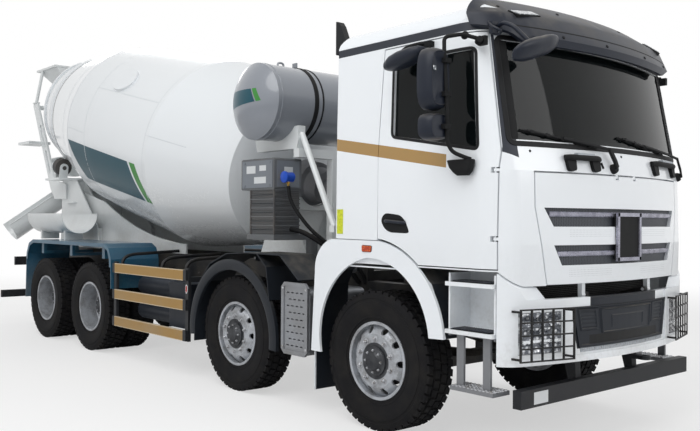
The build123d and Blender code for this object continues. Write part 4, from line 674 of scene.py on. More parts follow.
plated = mottled("plated_steel", (60, 5), 0.45, 0.75, (182, 184, 188), (108, 100, 90), 0.25, 0.25,
                 metallic=0.85)
wheel_nuts = set_round(nut_mesh("wheel_nut", 0.0165), 10, 0.1675, pi / 10, plated)
cap_bolts = set_round(nut_mesh("cap_bolt", 0.0075), 8, 0.082, 0.0, plated)
for end, way in SIDES:
    for axle, rim, nut_y, cap_y in ((1, "rim_1", 1.156, 1.182), (2, "rim_2", 1.156, 1.182),
                                    (3, "rims_3", 0.927, 1.080), (4, "rims_4", 0.927, 1.080)):
        shape = bmesh.new()
        x, _, z = middle(f"{rim}_{end}")
        add_mesh(shape, wheel_nuts, aimed((x, way * nut_y, z), (0, way, 0)))
        add_mesh(shape, cap_bolts, aimed((x, way * cap_y, z), (0, way, 0)))
        finished(f"wheel_nuts_{axle}_{end}", shape, plated, f"wheel_{axle}_{end}")


# Window surrounds: black rubber beads let into the edges of the windscreen and door windows, which
# are found by casting each outline on to the painted skin.
AHEAD = 2.0                          # a plane in front of the truck, from which its front is found
BACK = Vector((-1, 0, 0))


def skin_of(*nodes):
    """The outer surface of CAD parts, as a function that casts a point on to it."""
    verts, faces = [], []
    for node in nodes:
        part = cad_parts[node]
        start = len(verts)
        verts.extend(part.matrix_world @ v.co for v in part.data.vertices)
        faces.extend([start + i for i in face.vertices] for face in part.data.polygons)
    tree = BVHTree.FromPolygons(verts, faces)

    def cast(start, way=BACK):
        spot, normal, _, _ = tree.ray_cast(Vector(start), Vector(way).normalized())
        return spot and (spot, normal if normal.dot(Vector(way)) < 0 else -normal)
    return cast


def bend(back, here, ahead, radius, limit, steps):
    """A short curve in place of the corner at here, at most limit of the way to each neighbour."""
    a, b = [here + (p - here).normalized() * min(radius, (p - here).length * limit) for p in (back, ahead)]
    return [a * (1 - t) ** 2 + here * 2 * t * (1 - t) + b * t ** 2
            for t in [k / steps for k in range(steps + 1)]]


def round_corners(points, radius, steps=5):
    """An outline of flat points with each corner replaced by a short curve."""
    points = [Vector(p) for p in points]
    return [tuple(p) for back, here, ahead in zip(points[-1:] + points, points, points[1:] + points[:1])
            for p in bend(back, here, ahead, radius, 0.45, steps)]


def ribbon(shape, spots, normals, width, height, closed=False,
           section=((-0.5, -0.4), (-0.5, 0.45), (-0.38, 1.0), (0.38, 1.0), (0.5, 0.45), (0.5, -0.4))):
    """A flat strip with eased edges that lies along spots, raised along the normals."""
    rings = []
    last = len(spots) - 1
    for i, (spot, normal) in enumerate(zip(spots, normals)):
        back = spots[i - 1] if closed or i > 0 else spot
        ahead = spots[(i + 1) % len(spots)] if closed or i < last else spot
        side = (ahead - back).normalized().cross(normal).normalized()
        rings.append([shape.verts.new(spot + side * (a * width) + normal * (b * height)) for a, b in section])
    join_rings(shape, rings, closed)


def lay_round(name, cast, outline, radius, view, start, width, height, body):
    """A closed bead along an outline seen in the direction view, from the plane at start."""
    found, outline = [], [Vector(p) for p in round_corners(outline, radius)]
    for here, ahead in zip(outline, outline[1:] + outline[:1]):
        parts = max(1, int((ahead - here).length / 0.05))
        for a, b in [here.lerp(ahead, k / parts) for k in range(parts)]:
            found.append(cast(at(start, a, b) if view[0] else at(a, start, b), view))
    shape = bmesh.new()
    ribbon(shape, *zip(*filter(None, found)), width, height, closed=True)
    finished(name, shape, seal_rubber, body)


seal_rubber = moulded("seal_rubber", (18, 19, 21), 900, 0.6, 0.15)
screen_edge = [(-1.113, 2.118), (1.113, 2.118), (1.094, 2.836), (-1.094, 2.836)]
lay_round("windscreen_seal", skin_of("cab_shell"), screen_edge, 0.05, BACK, AHEAD, 0.036, 0.005, "cab")
window_edge = [(0.229, 2.219), (0.600, 2.153), (1.013, 2.080), (0.961, 2.766), (0.234, 2.769)]
for end, way in SIDES:
    lay_round(f"window_seal_{end}", skin_of(f"door_{end}"), window_edge, 0.04, (0, -way, 0), way * 1.5,
              0.022, 0.004, f"{end}_door")


# Sun visor: a dark moulding in two tiers over the windscreen. A groove parts the tiers, drawn as a thin
# black strip of painted shade; push clips hold it, and a clear marker lamp sits in a black bezel at each end.
def tube(shape, points, radius, steps=12, ease=0.03, way=1):
    """A round bar with eased corners and flat ends, along points on the right or left of the truck."""
    points = [p if isinstance(p, Vector) else at(p[0], way * p[1], p[2]) for p in points]
    eased = [q for corner in zip(points, points[1:], points[2:]) for q in bend(*corner, ease, 0.48, 4)]
    points = [points[0], *eased, points[-1]]
    rings, side = [], None
    for i, p in enumerate(points):
        run = (points[min(i + 1, len(points) - 1)] - points[max(i - 1, 0)]).normalized()
        side = side or run.orthogonal().normalized()
        side = (side - run * side.dot(run)).normalized()
        up = run.cross(side)
        rings.append([shape.verts.new(
            p + (side * cos(2 * pi * k / steps) + up * sin(2 * pi * k / steps)) * radius)
            for k in range(steps)])
    join_rings(shape, rings)


def slab(shape, outline, matrix, low, high, ease=0.0, segments=2):
    """A flat outline raised from low to high along the matrix's Z, with its edges eased."""
    before = set(shape.faces)
    bottom, top = [[shape.verts.new(matrix @ Vector((a, b, z))) for a, b in outline] for z in (low, high)]
    shape.faces.new(bottom[::-1])
    shape.faces.new(top)
    for corners in zip(bottom, bottom[1:] + bottom[:1], top[1:] + top[:1], top):
        shape.faces.new(corners)
    edges = [e for e in {e for f in set(shape.faces) - before for e in f.edges}
             if e.calc_face_angle(0.0) > 0.5]
    bmesh.ops.bevel(shape, geom=edges, offset=ease, segments=segments, affect="EDGES", clamp_overlap=True)


def brick(shape, low, high, ease=0.004, segments=2):
    """A box between two corners on the truck, with its edges eased."""
    low, high = at(*low), at(*high)
    a, b, c = (high - low) / 2
    slab(shape, rect(a, b), Matrix.Translation((low + high) / 2), -c, c, ease, segments)


def placed_set(name, mesh, places, finish, body="chassis"):
    """A finished piece that is the copies of a mesh at places."""
    shape = bmesh.new()
    shape.from_mesh(set_at(mesh, places, finish))
    finished(name, shape, finish, body)


marker_clear = mottled("marker_lens", (55.0,), 0.1, 0.6, (236, 240, 242), (120, 126, 132), 0.08, 0.2,
                       coat_weight=1.0)
gap_black = moulded("gap_black", (12, 13, 15), 500, 0.7, 0.1)
visor_skin = skin_of("roof_visor")
found = filter(None, [visor_skin(at(AHEAD, -1.13 + i * 0.0565, 2.912)) for i in range(41)])
# The groove is a thin black strip on the visor's skin: painted shade.
groove = bmesh.new()
ribbon(groove, *zip(*found), 0.010, 0.0008)
finished("visor_groove", groove, gap_black, "cab")
clip_mesh = fastener("visor_clip",
                     ([(0, -0.002), (0.013, -0.002), (0.013, 0.002), (0.009, 0.005), (0, 0.005)], 14))
clips = [(y, z) for z, places in ((3.06, (-1.02,)), (3.09, (-0.42, 0.42)), (3.06, (1.02,)),
                                  (2.872, (-0.592, -0.103, 0.49, 0.96))) for y in places]
found = filter(None, [visor_skin(at(AHEAD, y, z)) for y, z in clips])
placed_set("visor_clips", clip_mesh, [aimed(*spot) for spot in found], gap_black, "cab")
for end, way in SIDES:
    lens_shape, bezel = bmesh.new(), bmesh.new()
    centre, normal = visor_skin(at(AHEAD, way * 0.865, 3.015))
    along = Vector((0, 1, 0)) - normal * normal.y
    matrix = aimed(centre, normal, normal.cross(along.normalized()))
    if (matrix.to_3x3() @ Vector((1, 0, 0))).y < 0:
        matrix = matrix @ Matrix.Rotation(pi, 4, "Z")
    bezel_line = [(a + 0.016 * way * (1 if b > 0 else -1), b) for a, b in rect(0.118, 0.034)]
    slab(bezel, bezel_line, matrix, -0.02, 0.006, 0.003)
    slab(lens_shape, [(a * 0.9, b * 0.78) for a, b in bezel_line], matrix, 0.0, 0.011, 0.005)
    finished(f"marker_bezel_{end}", bezel, gap_black, "cab")
    finished(f"marker_lamp_{end}", lens_shape, marker_clear, "cab")


# Beacon: an orange moulded dome on a black foot, bolted to the roof behind the visor. Rings are
# moulded into the dome.
beacon_orange = Finish("beacon_lens", coat_weight=0.8)
rib = beacon_orange.waves("Z", 55.0)
beacon_orange.set("Base Color", beacon_orange.mix(rib * 0.35, (222, 84, 32), (150, 44, 16)))
beacon_orange.set("Roughness", 0.15 + rib * 0.2)
beacon_orange.bump(rib, 0.3, 0.001)
roof_spot, _ = skin_of("cab_shell", "roof_visor")(at(0.86, -0.03, 4.0), (0, 0, -1))
beacon, foot = bmesh.new(), bmesh.new()
lathe(foot, [(0, -0.01), (0.098, -0.01), (0.098, 0.012), (0.088, 0.02), (0, 0.02)], roof_spot, steps=40)
lathe(beacon, [(0, 0.018), (0.082, 0.018), (0.08, 0.055), (0.07, 0.072), (0.035, 0.081), (0, 0.083)],
      roof_spot, steps=40)
finished("beacon_foot", foot, gap_black, "cab")
finished("beacon_lens", beacon, beacon_orange, "cab")


# Door mirrors: a large head and a wide-angle head with sunk back panels, on a tube arm from the
# door's front edge. They are moulded shells, and the glass sits in each one's rear face.
def shell_head(shape, sections, segments=28, power=3.2):
    """A closed rounded shell through sections of (centre, half width vector, half height vector)."""
    def rounded(share):
        return abs(share) ** (2 / power) * (1 if share >= 0 else -1)
    turns = [2 * pi * i / segments for i in range(segments)]
    join_rings(shape, [[shape.verts.new(centre + Vector(wide) * rounded(cos(a)) +
                                        Vector(high) * rounded(sin(a)))
                        for a in turns] for centre, wide, high in sections])


def mirror_head(shape, glass_shape, way, x0, y_mid, y_half, z0, z1):
    """One head: its glass faces the rear at x0, its back panel is sunk into the front face."""
    half_x, half_z = (MIRROR_FRONT - x0) / 2, (z1 - z0) / 2
    place = (Matrix.Translation(at(x0 + half_x, way * y_mid, (z0 + z1) / 2))
             @ Matrix.Rotation(way * 0.10, 4, "Z"))

    def section(share_x, inset, share_y, share_z):
        origin = place @ Vector((half_x * share_x + inset, 0, 0))
        turned = place.to_3x3()
        return origin, turned @ Vector((0, y_half * share_y, 0)), turned @ Vector((0, 0, half_z * share_z))

    shell_head(shape, [section(*s) for s in (
        (-1, 0, 0.93, 0.965), (-1, 0.004, 0.985, 0.99), (-0.4, 0, 1.0, 1.0), (0.35, 0, 0.93, 0.965),
        (0.8, 0, 0.82, 0.9),
        (1, 0, 0.70, 0.85), (1, -0.003, 0.67, 0.835), (1, -0.006, 0.64, 0.81), (1, -0.0065, 0.05, 0.1))])
    shell_head(glass_shape, [section(-1, -0.0005, 0.86, 0.93), section(-1, -0.003, 0.855, 0.925)])


MIRROR_FRONT = 0.884
mirror_glass = mottled("mirror_glass", (6, 4), 0.5, 0.8, (205, 208, 212), (160, 160, 158), 0.02, 0.05,
                       metallic=1.0)
for end, way in SIDES:
    door = f"{end}_door"
    heads, glass_shape, arms, square = [bmesh.new() for _ in range(4)]
    mirror_head(heads, glass_shape, way, 0.768, 1.449, 0.110, 2.335, 2.752)
    mirror_head(heads, glass_shape, way, 0.775, 1.447, 0.108, 2.140, 2.316)
    tube(arms, [(1.045, 1.228, 2.797), (0.955, 1.330, 2.836), (0.862, 1.398, 2.822), (0.876, 1.412, 2.700),
                (0.905, 1.410, 2.300), (0.893, 1.402, 2.130), (0.905, 1.362, 2.062), (0.965, 1.318, 2.028),
                (0.982, 1.268, 2.015)], 0.0135, way=way)
    for x, y, z, long in ((1.02, 1.236, 2.797, 0.058), (0.955, 1.300, 2.832, 0.04)):
        lathe(arms, [(0, -long / 2), (0.022, -long / 2), (0.027, 0), (0.022, long / 2), (0, long / 2)],
              at(x, way * y, z), (0.6, way * 0.5, 0.1), 16)
    for x, half_x, y, half_y, z, half_z, ease in (
            (1.035, 0.030, 1.215, 0.016, 2.795, 0.030, 0.008),
            (0.892, 0.020, 1.411, 0.03, 2.66, 0.016, 0.006),
            (0.892, 0.020, 1.411, 0.03, 2.44, 0.016, 0.006),
            (0.892, 0.020, 1.411, 0.03, 2.225, 0.016, 0.006)):
        brick(arms, (x - half_x, way * y - half_y, z - half_z), (x + half_x, way * y + half_y, z + half_z),
              ease)
    shell_head(arms, [(at(0.905 + x, way * 1.272, 1.965 + z), (a, 0, 0), (0, b, 0)) for x, z, a, b in (
        (0, 0.050, 0.100, 0.034), (0, 0.046, 0.108, 0.040), (0.006, 0, 0.094, 0.040),
        (0.016, -0.034, 0.072, 0.034), (0.020, -0.056, 0.046, 0.022))], 32, 3.0)
    brick(square, (0.8795, way * 1.512 - 0.013, 2.590), (0.8825, way * 1.512 + 0.013, 2.618), 0.0008)
    finished(f"mirror_heads_{end}", heads, trim, door)
    finished(f"mirror_glass_{end}", glass_shape, mirror_glass, door)
    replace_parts(finished(f"mirror_arm_{end}", arms, gap_black, door), f"mirrors_{end}")
    finished(f"mirror_square_{end}", square, marker_clear, door)


# Front corner mirror: a two-lobed moulded shell that faces down over the bumper's corner, on a bent
# arm and a loop bracket from the visor's end. The visor is drawn again without its plain CAD mirror.
ROD_R = 0.013
corner, corner_arm = bmesh.new(), bmesh.new()
head_mid, long_axis, lift = (at(1.335, -1.062, 2.722), Vector((0.0, 0.232, 0.070)),
                             Vector((0.030, -0.018, 0.060)))
shell_head(corner, [(head_mid + long_axis * share, (0.060 * size, 0, 0), lift * (0.25 + 0.85 * size))
                    for share, size in (
    (-1.0, 0.10), (-0.93, 0.42), (-0.75, 0.72), (-0.45, 0.96), (-0.1, 1.0), (0.08, 0.93), (0.35, 0.95),
    (0.62, 0.84), (0.82, 0.62), (0.95, 0.38), (1.0, 0.10))], 24, 2.3)
tube(corner_arm, [(1.075, -1.118, 2.892), (1.150, -1.150, 2.905), (1.230, -1.155, 2.868),
                  (1.318, -1.120, 2.765)], 0.014)
tube(corner_arm, [(1.040, -1.165, 2.925), (1.100, -1.205, 2.880), (1.160, -1.180, 2.845),
                  (1.100, -1.130, 2.835), (1.060, -1.150, 2.850)], 0.009, 10)
brick(corner_arm, (1.055, -1.178, 2.845), (1.085, -1.120, 2.925), 0.008)
finished("corner_mirror_shell", corner, trim, "cab", sharp=60)
finished("corner_mirror_arm", corner_arm, trim, "cab")
bare_visor = bmesh.new()
bare_visor.from_mesh(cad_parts["roof_visor"].data)
bmesh.ops.remove_doubles(bare_visor, verts=bare_visor.verts, dist=1e-5)
rod_ends = [at(1.040, -1.150, 2.930), at(1.300, -1.190, 2.860), at(1.340, -1.130, 2.740)]


def on_mirror(place):
    """Whether a place is on the plain corner mirror: its head, or one of its two rods."""
    if place.z < 2.79 and place.y < -0.93 and place.x > FIRST + 1.2:
        return True
    for a, b in zip(rod_ends, rod_ends[1:]):
        share = max(0, min(1, (place - a).dot(b - a) / (b - a).length_squared))
        if (place - a.lerp(b, share)).length < ROD_R + 0.0012:
            return True
    return False


bmesh.ops.delete(bare_visor, geom=[f for f in bare_visor.faces if all(on_mirror(v.co) for v in f.verts)],
                 context="FACES")
bmesh.ops.holes_fill(bare_visor, edges=[e for e in bare_visor.edges if e.is_boundary])
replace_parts(finished("sun_visor", bare_visor, trim, "cab", sharp=28), "roof_visor")


# Kerb mirror: a hooded shell over the passenger's window, held by a clamp bracket on the door frame.
# It faces down at the kerb.
kerb, kerb_arm = bmesh.new(), bmesh.new()
shell_head(kerb, [(at(0.450 + x, -1.335, 2.735 + z), (0, half_y, 0), (0, 0, half_z))
                  for x, half_y, half_z, z in (
    (-0.165, 0.030, 0.012, -0.028), (-0.150, 0.062, 0.034, -0.020), (-0.100, 0.078, 0.052, -0.004),
    (-0.020, 0.084, 0.060, 0.010), (0.080, 0.080, 0.054, 0.026), (0.150, 0.066, 0.040, 0.040),
    (0.185, 0.030, 0.018, 0.048))], 28, 2.6)
tube(kerb_arm, [(0.405, -1.330, 2.792), (0.440, -1.300, 2.835), (0.545, -1.262, 2.850),
                (0.600, -1.222, 2.846)], 0.016)
brick(kerb_arm, (0.530, -1.262, 2.822), (0.620, -1.212, 2.860), 0.010)
finished("kerb_mirror_shell", kerb, trim, "right_door", sharp=60)
finished("kerb_mirror_bracket", kerb_arm, gap_black, "right_door")


# Wipers: two pressed arms with hinged heads on the cowl, and long rubber blades that lie on the glass.
# Five clasps hold each blade to its spine.
screen_skin = skin_of("windscreen", "cab_shell")
rubber_line = [(-0.5, 0.0), (-0.5, 0.35), (-0.16, 0.45), (-0.16, 1.0), (0.16, 1.0), (0.16, 0.45), (0.5, 0.35),
               (0.5, 0.0)]
wiper_parts, blade_parts = bmesh.new(), bmesh.new()


def between(a, b, share):
    return [p + (q - p) * share for p, q in zip(a, b)]


def on_screen(y, z, lift=0.0):
    spot, normal = screen_skin(at(2.2, y, z))
    return spot + normal * lift, normal


for pivot, elbow, tip, inner_tip in (((-0.165, 1.979), (-0.235, 2.105), (-1.016, 2.208), (-0.330, 2.118)),
                                     ((1.085, 1.975), (0.985, 2.112), (-0.030, 2.212), (0.700, 2.128))):
    base, normal = on_screen(*pivot)
    lathe(wiper_parts, [(0, -0.01), (0.036, -0.01), (0.036, 0.012), (0.028, 0.030), (0, 0.032)], base, normal)
    arm = [base + normal * 0.034]
    arm += [on_screen(*between(pivot, elbow, share), 0.040 + 0.008 * share)[0] for share in (0.35, 0.7, 1.0)]
    blade_mid = between(inner_tip, tip, 0.5)
    arm += [on_screen(*between(elbow, blade_mid, share), 0.044 - 0.014 * share)[0]
            for share in (0.35, 0.75, 1.0)]
    ribbon(wiper_parts, arm[:4], [normal] * 4, 0.040, 0.012)
    ribbon(wiper_parts, arm[3:], [normal] * 4, 0.018, 0.009)
    spots, normals = zip(*[on_screen(*between(inner_tip, tip, i / 16)) for i in range(17)])
    raised, spine, clasps = [[p + n * lift for p, n in zip(spots, normals)] for lift in (0.002, 0.023, 0.018)]
    ribbon(blade_parts, raised, normals, 0.016, 0.020, section=rubber_line)
    ribbon(wiper_parts, spine[1:-1:2], normals[1:-1:2], 0.013, 0.006)
    for i in (2, 5, 8, 11, 14):
        slab(wiper_parts, [(-0.011, -0.009), (0.011, -0.009), (0.011, 0.012), (-0.011, 0.012)],
             aimed(clasps[i], spots[i + 1] - spots[i - 1], normals[i]), -0.014, 0.014, 0.003)
finished("wiper_arms", wiper_parts, gap_black, "cab")
finished("wiper_blades", blade_parts, seal_rubber, "cab")


# Cowl fittings: two grab handles with pale tread tops on moulded feet, for a driver who cleans the
# screen, the panel's small fixing bolts and a washer nozzle.
pad_grey = moulded("step_pad_grey", (170, 176, 182), 300, 0.6, 0.2)
handles, handle_tops, nozzle = bmesh.new(), bmesh.new(), bmesh.new()
for y0, y1, z0, z1 in ((-0.680, -0.330, 1.990, 1.992), (0.430, 0.935, 2.000, 2.003)):
    tube(handles, [on_screen(y0 + (y1 - y0) * share, z0 + 0.045, lift)[0] for share, lift in (
        (0, 0.012), (0.12, 0.034), (0.5, 0.034), (0.88, 0.034), (1, 0.012))], 0.021, ease=0.05)
    for spot in (on_screen(y0 + 0.05, z0), on_screen(y1 - 0.05, z1)):
        foot_line = round_corners([(-0.036, -0.045), (0.036, -0.045), (0.046, 0.060), (-0.046, 0.060)],
                                  0.02, 3)
        slab(handles, foot_line, aimed(*spot), -0.006, 0.026, 0.006)
    spot, normal = on_screen((y0 + y1) / 2, z0 + 0.066, 0.034)
    slab(handle_tops, rect((y1 - y0) * 0.24, 0.018), aimed(spot, UP, normal), -0.004, 0.010, 0.003)
finished("cowl_handles", handles, gap_black, "cab")
finished("cowl_handle_treads", handle_tops, pad_grey, "cab")
round_head = fastener("round_head",
                      ([(0, -0.002), (0.009, -0.002), (0.0095, 0.001), (0.006, 0.005), (0, 0.006)], 12))
placed_set("cowl_bolts", round_head,
           [aimed(*on_screen(y, z)) for y, z in ((-0.963, 2.071), (-0.020, 2.076), (0.935, 2.076))],
           gap_black, "cab")
slab(nozzle, rect(0.007, 0.022), aimed(*on_screen(-0.288, 1.998)) @ Matrix.Rotation(0.35, 4, "Z"), -0.003,
     0.007, 0.002)
finished("washer_nozzle", nozzle, gap_black, "cab")


# Windscreen pillar covers and front panel trim: black strips over the glass's edges, a bright bar in
# each air slot, and a bare plate in a cast frame between them.
def relief(shape, spot_of, columns, rows, height, base=-0.002):
    """A skin over spot_of(u, v), raised by height(u, v), with its back at base and closed edges."""
    top, under = [], []
    for j in range(rows + 1):
        shares = [(i / columns, j / rows) for i in range(columns + 1)]
        spots = [spot_of(u, v) for u, v in shares]
        top.append([shape.verts.new(spot + normal * height(u, v))
                    for (spot, normal), (u, v) in zip(spots, shares)])
        under.append([shape.verts.new(spot + normal * base) for spot, normal in spots])
    for a, b, c, d in zip(top, top[1:], under, under[1:]):
        for i in range(columns):
            shape.faces.new((a[i], a[i + 1], b[i + 1], b[i]))
            shape.faces.new((c[i], d[i], d[i + 1], c[i + 1]))
        shape.faces.new((a[0], b[0], d[0], c[0]))
        shape.faces.new((b[-1], a[-1], c[-1], d[-1]))
    for i in range(columns):
        shape.faces.new((top[0][i + 1], top[0][i], under[0][i], under[0][i + 1]))
        shape.faces.new((top[-1][i], top[-1][i + 1], under[-1][i + 1], under[-1][i]))


def front_strip(shape, cast, places, width, height, **section):
    """A strip over places across the truck and up it, laid on the front skin."""
    ribbon(shape, *zip(*[cast(at(AHEAD, y, z)) for y, z in places]), width, height, **section)


for end, way in SIDES:
    cover = bmesh.new()
    front_strip(cover, skin_of("windscreen"),
                [(way * (1.072 - 0.019 * i / 12), 2.128 + 0.7 * i / 12) for i in range(13)],
                0.078, 0.007)
    finished(f"pillar_cover_{end}", cover, gap_black, "cab")
bright = mottled("bright_bar", (14, 2), 0.3, 0.8, (176, 176, 190), (132, 132, 146), 0.2, 0.15, metallic=0.7)
panel_skin = skin_of("front_panel")
bars, plate, plate_frame = bmesh.new(), bmesh.new(), bmesh.new()
bar_section = [(-0.5, 0.0), (-0.5, 0.7), (-0.3, 1.0), (0.3, 0.92), (0.5, 0.55), (0.5, 0.0)]
for half, z in ((0.825, 1.656), (0.755, 1.388)):
    front_strip(bars, panel_skin, [(-half + i * half / 14, z) for i in range(29)], 0.034, 0.021,
                section=bar_section)
finished("panel_bars", bars, bright, "front_lid")
plate_turn = aimed(panel_skin(at(AHEAD, 0.0, 1.500))[0], (1, 0, 0))
slab(plate, round_corners(rect(0.160, 0.168), 0.02, 4), plate_turn, -0.012, 0.009, 0.003)
frame_line = [Vector(p) for p in rect(0.150, 0.158)]
for a, b in zip(frame_line, frame_line[1:] + frame_line[:1]):
    run = (b - a).normalized() * 0.012
    out = Vector((run.y, -run.x)).normalized() * 0.013
    slab(plate_frame, [a - run + out, b + run + out, b + run - out, a - run - out], plate_turn, 0.002, 0.019,
         0.004)
finished("plate_back", plate, gap_black, "front_lid")
finished("plate_frame", plate_frame, bright, "front_lid")


# Bumper centre: a black moulding with a raised rim, two ribbed side pockets and a plate recess, a cap
# above it, and a ribbed aluminium tread on the bumper's lower lip.
bumper_skin = skin_of("bumper")
moulding, centre_cap, tread_strip = bmesh.new(), bmesh.new(), bmesh.new()
TREAD_Z = 0.736


def on_moulding(u, v):
    z = 0.752 + 0.276 * v
    return bumper_skin(at(AHEAD, (2 * u - 1) * (0.400 + 0.225 * z), z))


def moulding_relief(u, v):
    across = abs(2 * u - 1)
    if 0.60 < across < 0.93 and 0.40 < v < 0.93:
        return 0.001 + int(v * 22) % 2 * 0.003 if 0.64 < across < 0.90 and 0.46 < v < 0.88 else 0.009
    if across < 0.56 and 0.30 < v < 0.92:
        if across > 0.53 or v > 0.88 or v < 0.34:
            return 0.013
        return 0.010 if across < 0.36 and 0.44 < v < 0.74 and (across > 0.34 or v > 0.71) else 0.006
    return 0.011 if across > 0.955 or v < 0.06 or v > 0.95 else 0.002


moulded_black = moulded("bumper_black", (30, 34, 41), 500, 0.5, 0.3)
# A near-black band low in the centre moulding: painted shade in its lower opening.
tinted(moulded_black, moulded_black.z.within(0.77, 0.832) * (abs(moulded_black.y) < 0.46), (8, 9, 10))
relief(moulding, on_moulding, 150, 40, moulding_relief)
finished("bumper_moulding", moulding, moulded_black, sharp=25)
relief(centre_cap, lambda u, v: bumper_skin(at(AHEAD, (2 * u - 1) * 0.438, 1.033 + 0.050 * v)), 60, 8,
       lambda u, v: 0.007 * min(1, 12 * u, 12 * (1 - u)) ** 0.5)
finished("bumper_cap", centre_cap, moulded_black, sharp=40)
front_strip(tread_strip, bumper_skin, [(-0.55 + i * 0.055, TREAD_Z) for i in range(21)], 0.030, 0.008)
finished("bumper_tread", tread_strip, pad_grey)
rib_shape = bmesh.new()
slab(rib_shape, rect(0.004, 0.011), Matrix.Identity(4), -0.001, 0.003, 0.001, 1)
rib_spots = [bumper_skin(at(AHEAD, -0.535 + i * 0.0249, TREAD_Z)) for i in range(44)]
placed_set("bumper_tread_ribs", plain("tread_rib", rib_shape),
           [aimed(spot + normal * 0.008, normal) for spot, normal in rib_spots], plated)


# Headlamps: three tiers behind clear covers. Each has deep bright bowls; the lowest is a wide fog lamp,
# and white and dark bars part the tiers.
reflector = mottled("lamp_reflector", (34.0,), 0.15, 0.6, (226, 229, 233), (92, 96, 104), 0.08, 0.25,
                    (0.5, 0.002), metallic=0.8, coat_weight=0.8)
tinted(reflector, abs(reflector.z - 0.818) < 0.010, WHITE)
tinted(reflector, abs(reflector.z - 0.911) < 0.005, (70, 74, 80))
lamp_skin = skin_of("lamps")


def lamp_relief(u, v):
    """Bowls in three tiers, between a rim and the bars that part the tiers."""
    if not (0.03 <= u <= 0.97 and 0.03 <= v <= 0.97):
        return 0.006
    for low, high, count in ((0.04, 0.26, 1), (0.345, 0.62, 3), (0.66, 0.96, 3)):
        if low < v < high:
            a, b = (u - 0.03) / 0.94 * count % 1.0, (v - low) / (high - low)
            return 0.0005 + 0.0045 * min(1.0, hypot(a - 0.5, b - 0.5) * 2) ** 2
    return 0.0055


for end, way in SIDES:
    lamp = bmesh.new()
    relief(lamp, lambda u, v: lamp_skin(at(AHEAD, way * (0.7455 + 0.335 * u), 0.7405 + 0.264 * v)), 60, 44,
           lamp_relief, -0.001)
    finished(f"headlamp_face_{end}", lamp, reflector, sharp=25)


# Radiator opening: a dark sheet across the opening between the bumper's top and the panel, painted shade
# in its depth, with a finned core. The fins lie across the truck.
opening_shade, fins = bmesh.new(), bmesh.new()
brick(opening_shade, (1.090, -0.800, 0.960), (1.112, 0.800, 1.165), 0.006)
for z in [0.972 + i * 0.013 for i in range(15)]:
    brick(fins, (1.110, -0.770, z), (1.116, 0.770, z + 0.005), 0.001, 1)
# The dark sheet behind the fins is painted shade inside the opening.
finished("radiator_shroud", opening_shade, gap_black)
finished("radiator_fins", fins, guard_steel)


# Door handles, side lamps and labels: a black handle cup with a grip bar in each door, an orange side
# lamp on each front arch, a bare yellow-green label, and a pressed line across each door.
handle_line = [(0.129, 1.600), (0.146, 1.640), (0.180, 1.661), (0.321, 1.646), (0.372, 1.606), (0.412, 1.524),
               (0.390, 1.514), (0.222, 1.518), (0.165, 1.545)]
crease_line = [(0.416, 1.925), (0.695, 1.86), (0.913, 1.78), (0.988, 1.712)]
swell = [(-0.5, -0.4), (-0.3, 0.35), (0.0, 1.0), (0.3, 0.35), (0.5, -0.4)]
lens_line = round_corners([(-0.050, -0.023), (0.045, -0.023), (0.050, 0.020), (-0.052, 0.023)], 0.012, 3)
side_orange = mottled("side_lamp_lens", (90.0,), 0.1, 0.6, (224, 120, 50), (170, 56, 24), 0.2,
                      relief=(0.4, 0.001))
label_green = mottled("label_green", (42, 4), 0.4, 0.7, (206, 214, 40), (176, 184, 36), 0.5)


def on_side(way, x, z, side=SIDE):
    """The turn that puts a flat outline on the truck's side, its X forwards on the right side."""
    return aimed(at(x, way * side, z), (0, way, 0))


for end, way in SIDES:
    cup, grip, lens_shape, bezel, crease, door = [*[bmesh.new() for _ in range(5)], f"{end}_door"]
    flat = [(-way * (x - 0.27), z - 1.588) for x, z in handle_line]
    slab(cup, round_corners(flat, 0.03, 4), on_side(way, 0.27, 1.588), -0.004, 0.0035, 0.002)
    tube(grip, [(0.175, SIDE + 0.001, 1.602), (0.195, SIDE + 0.014, 1.602), (0.355, SIDE + 0.014, 1.590),
                (0.375, SIDE + 0.001, 1.590)], 0.013, way=way)
    finished(f"handle_cup_{end}", cup, gap_black, door)
    finished(f"handle_grip_{end}", grip, trim, door)
    slab(bezel, [(a * 1.1, b * 1.16) for a, b in lens_line], on_side(way, -0.018, 1.392), -0.004, 0.003,
         0.0015)
    slab(lens_shape, lens_line, on_side(way, -0.018, 1.392), 0.0, 0.009, 0.004)
    finished(f"side_lamp_base_{end}", bezel, gap_black)
    finished(f"side_lamp_{end}", lens_shape, side_orange)
    spots = [between(a, b, k / 4) for a, b in zip(crease_line, crease_line[1:])
             for k in range(4)] + crease_line[-1:]
    ribbon(crease, [at(x, way * SIDE, z) for x, z in spots], [Vector((0, way, 0))] * len(spots), 0.016,
           0.0022, section=swell)
    finished(f"door_crease_{end}", crease, cab_paint, door, 80)
label = bmesh.new()
slab(label, [(-0.033, -0.095), (0.035, -0.095), (0.035, 0.097), (-0.033, 0.097)], on_side(-1, -0.325, 1.594),
     -0.001, 0.0008, 0.0003)
finished("side_label", label, label_green, "cab")


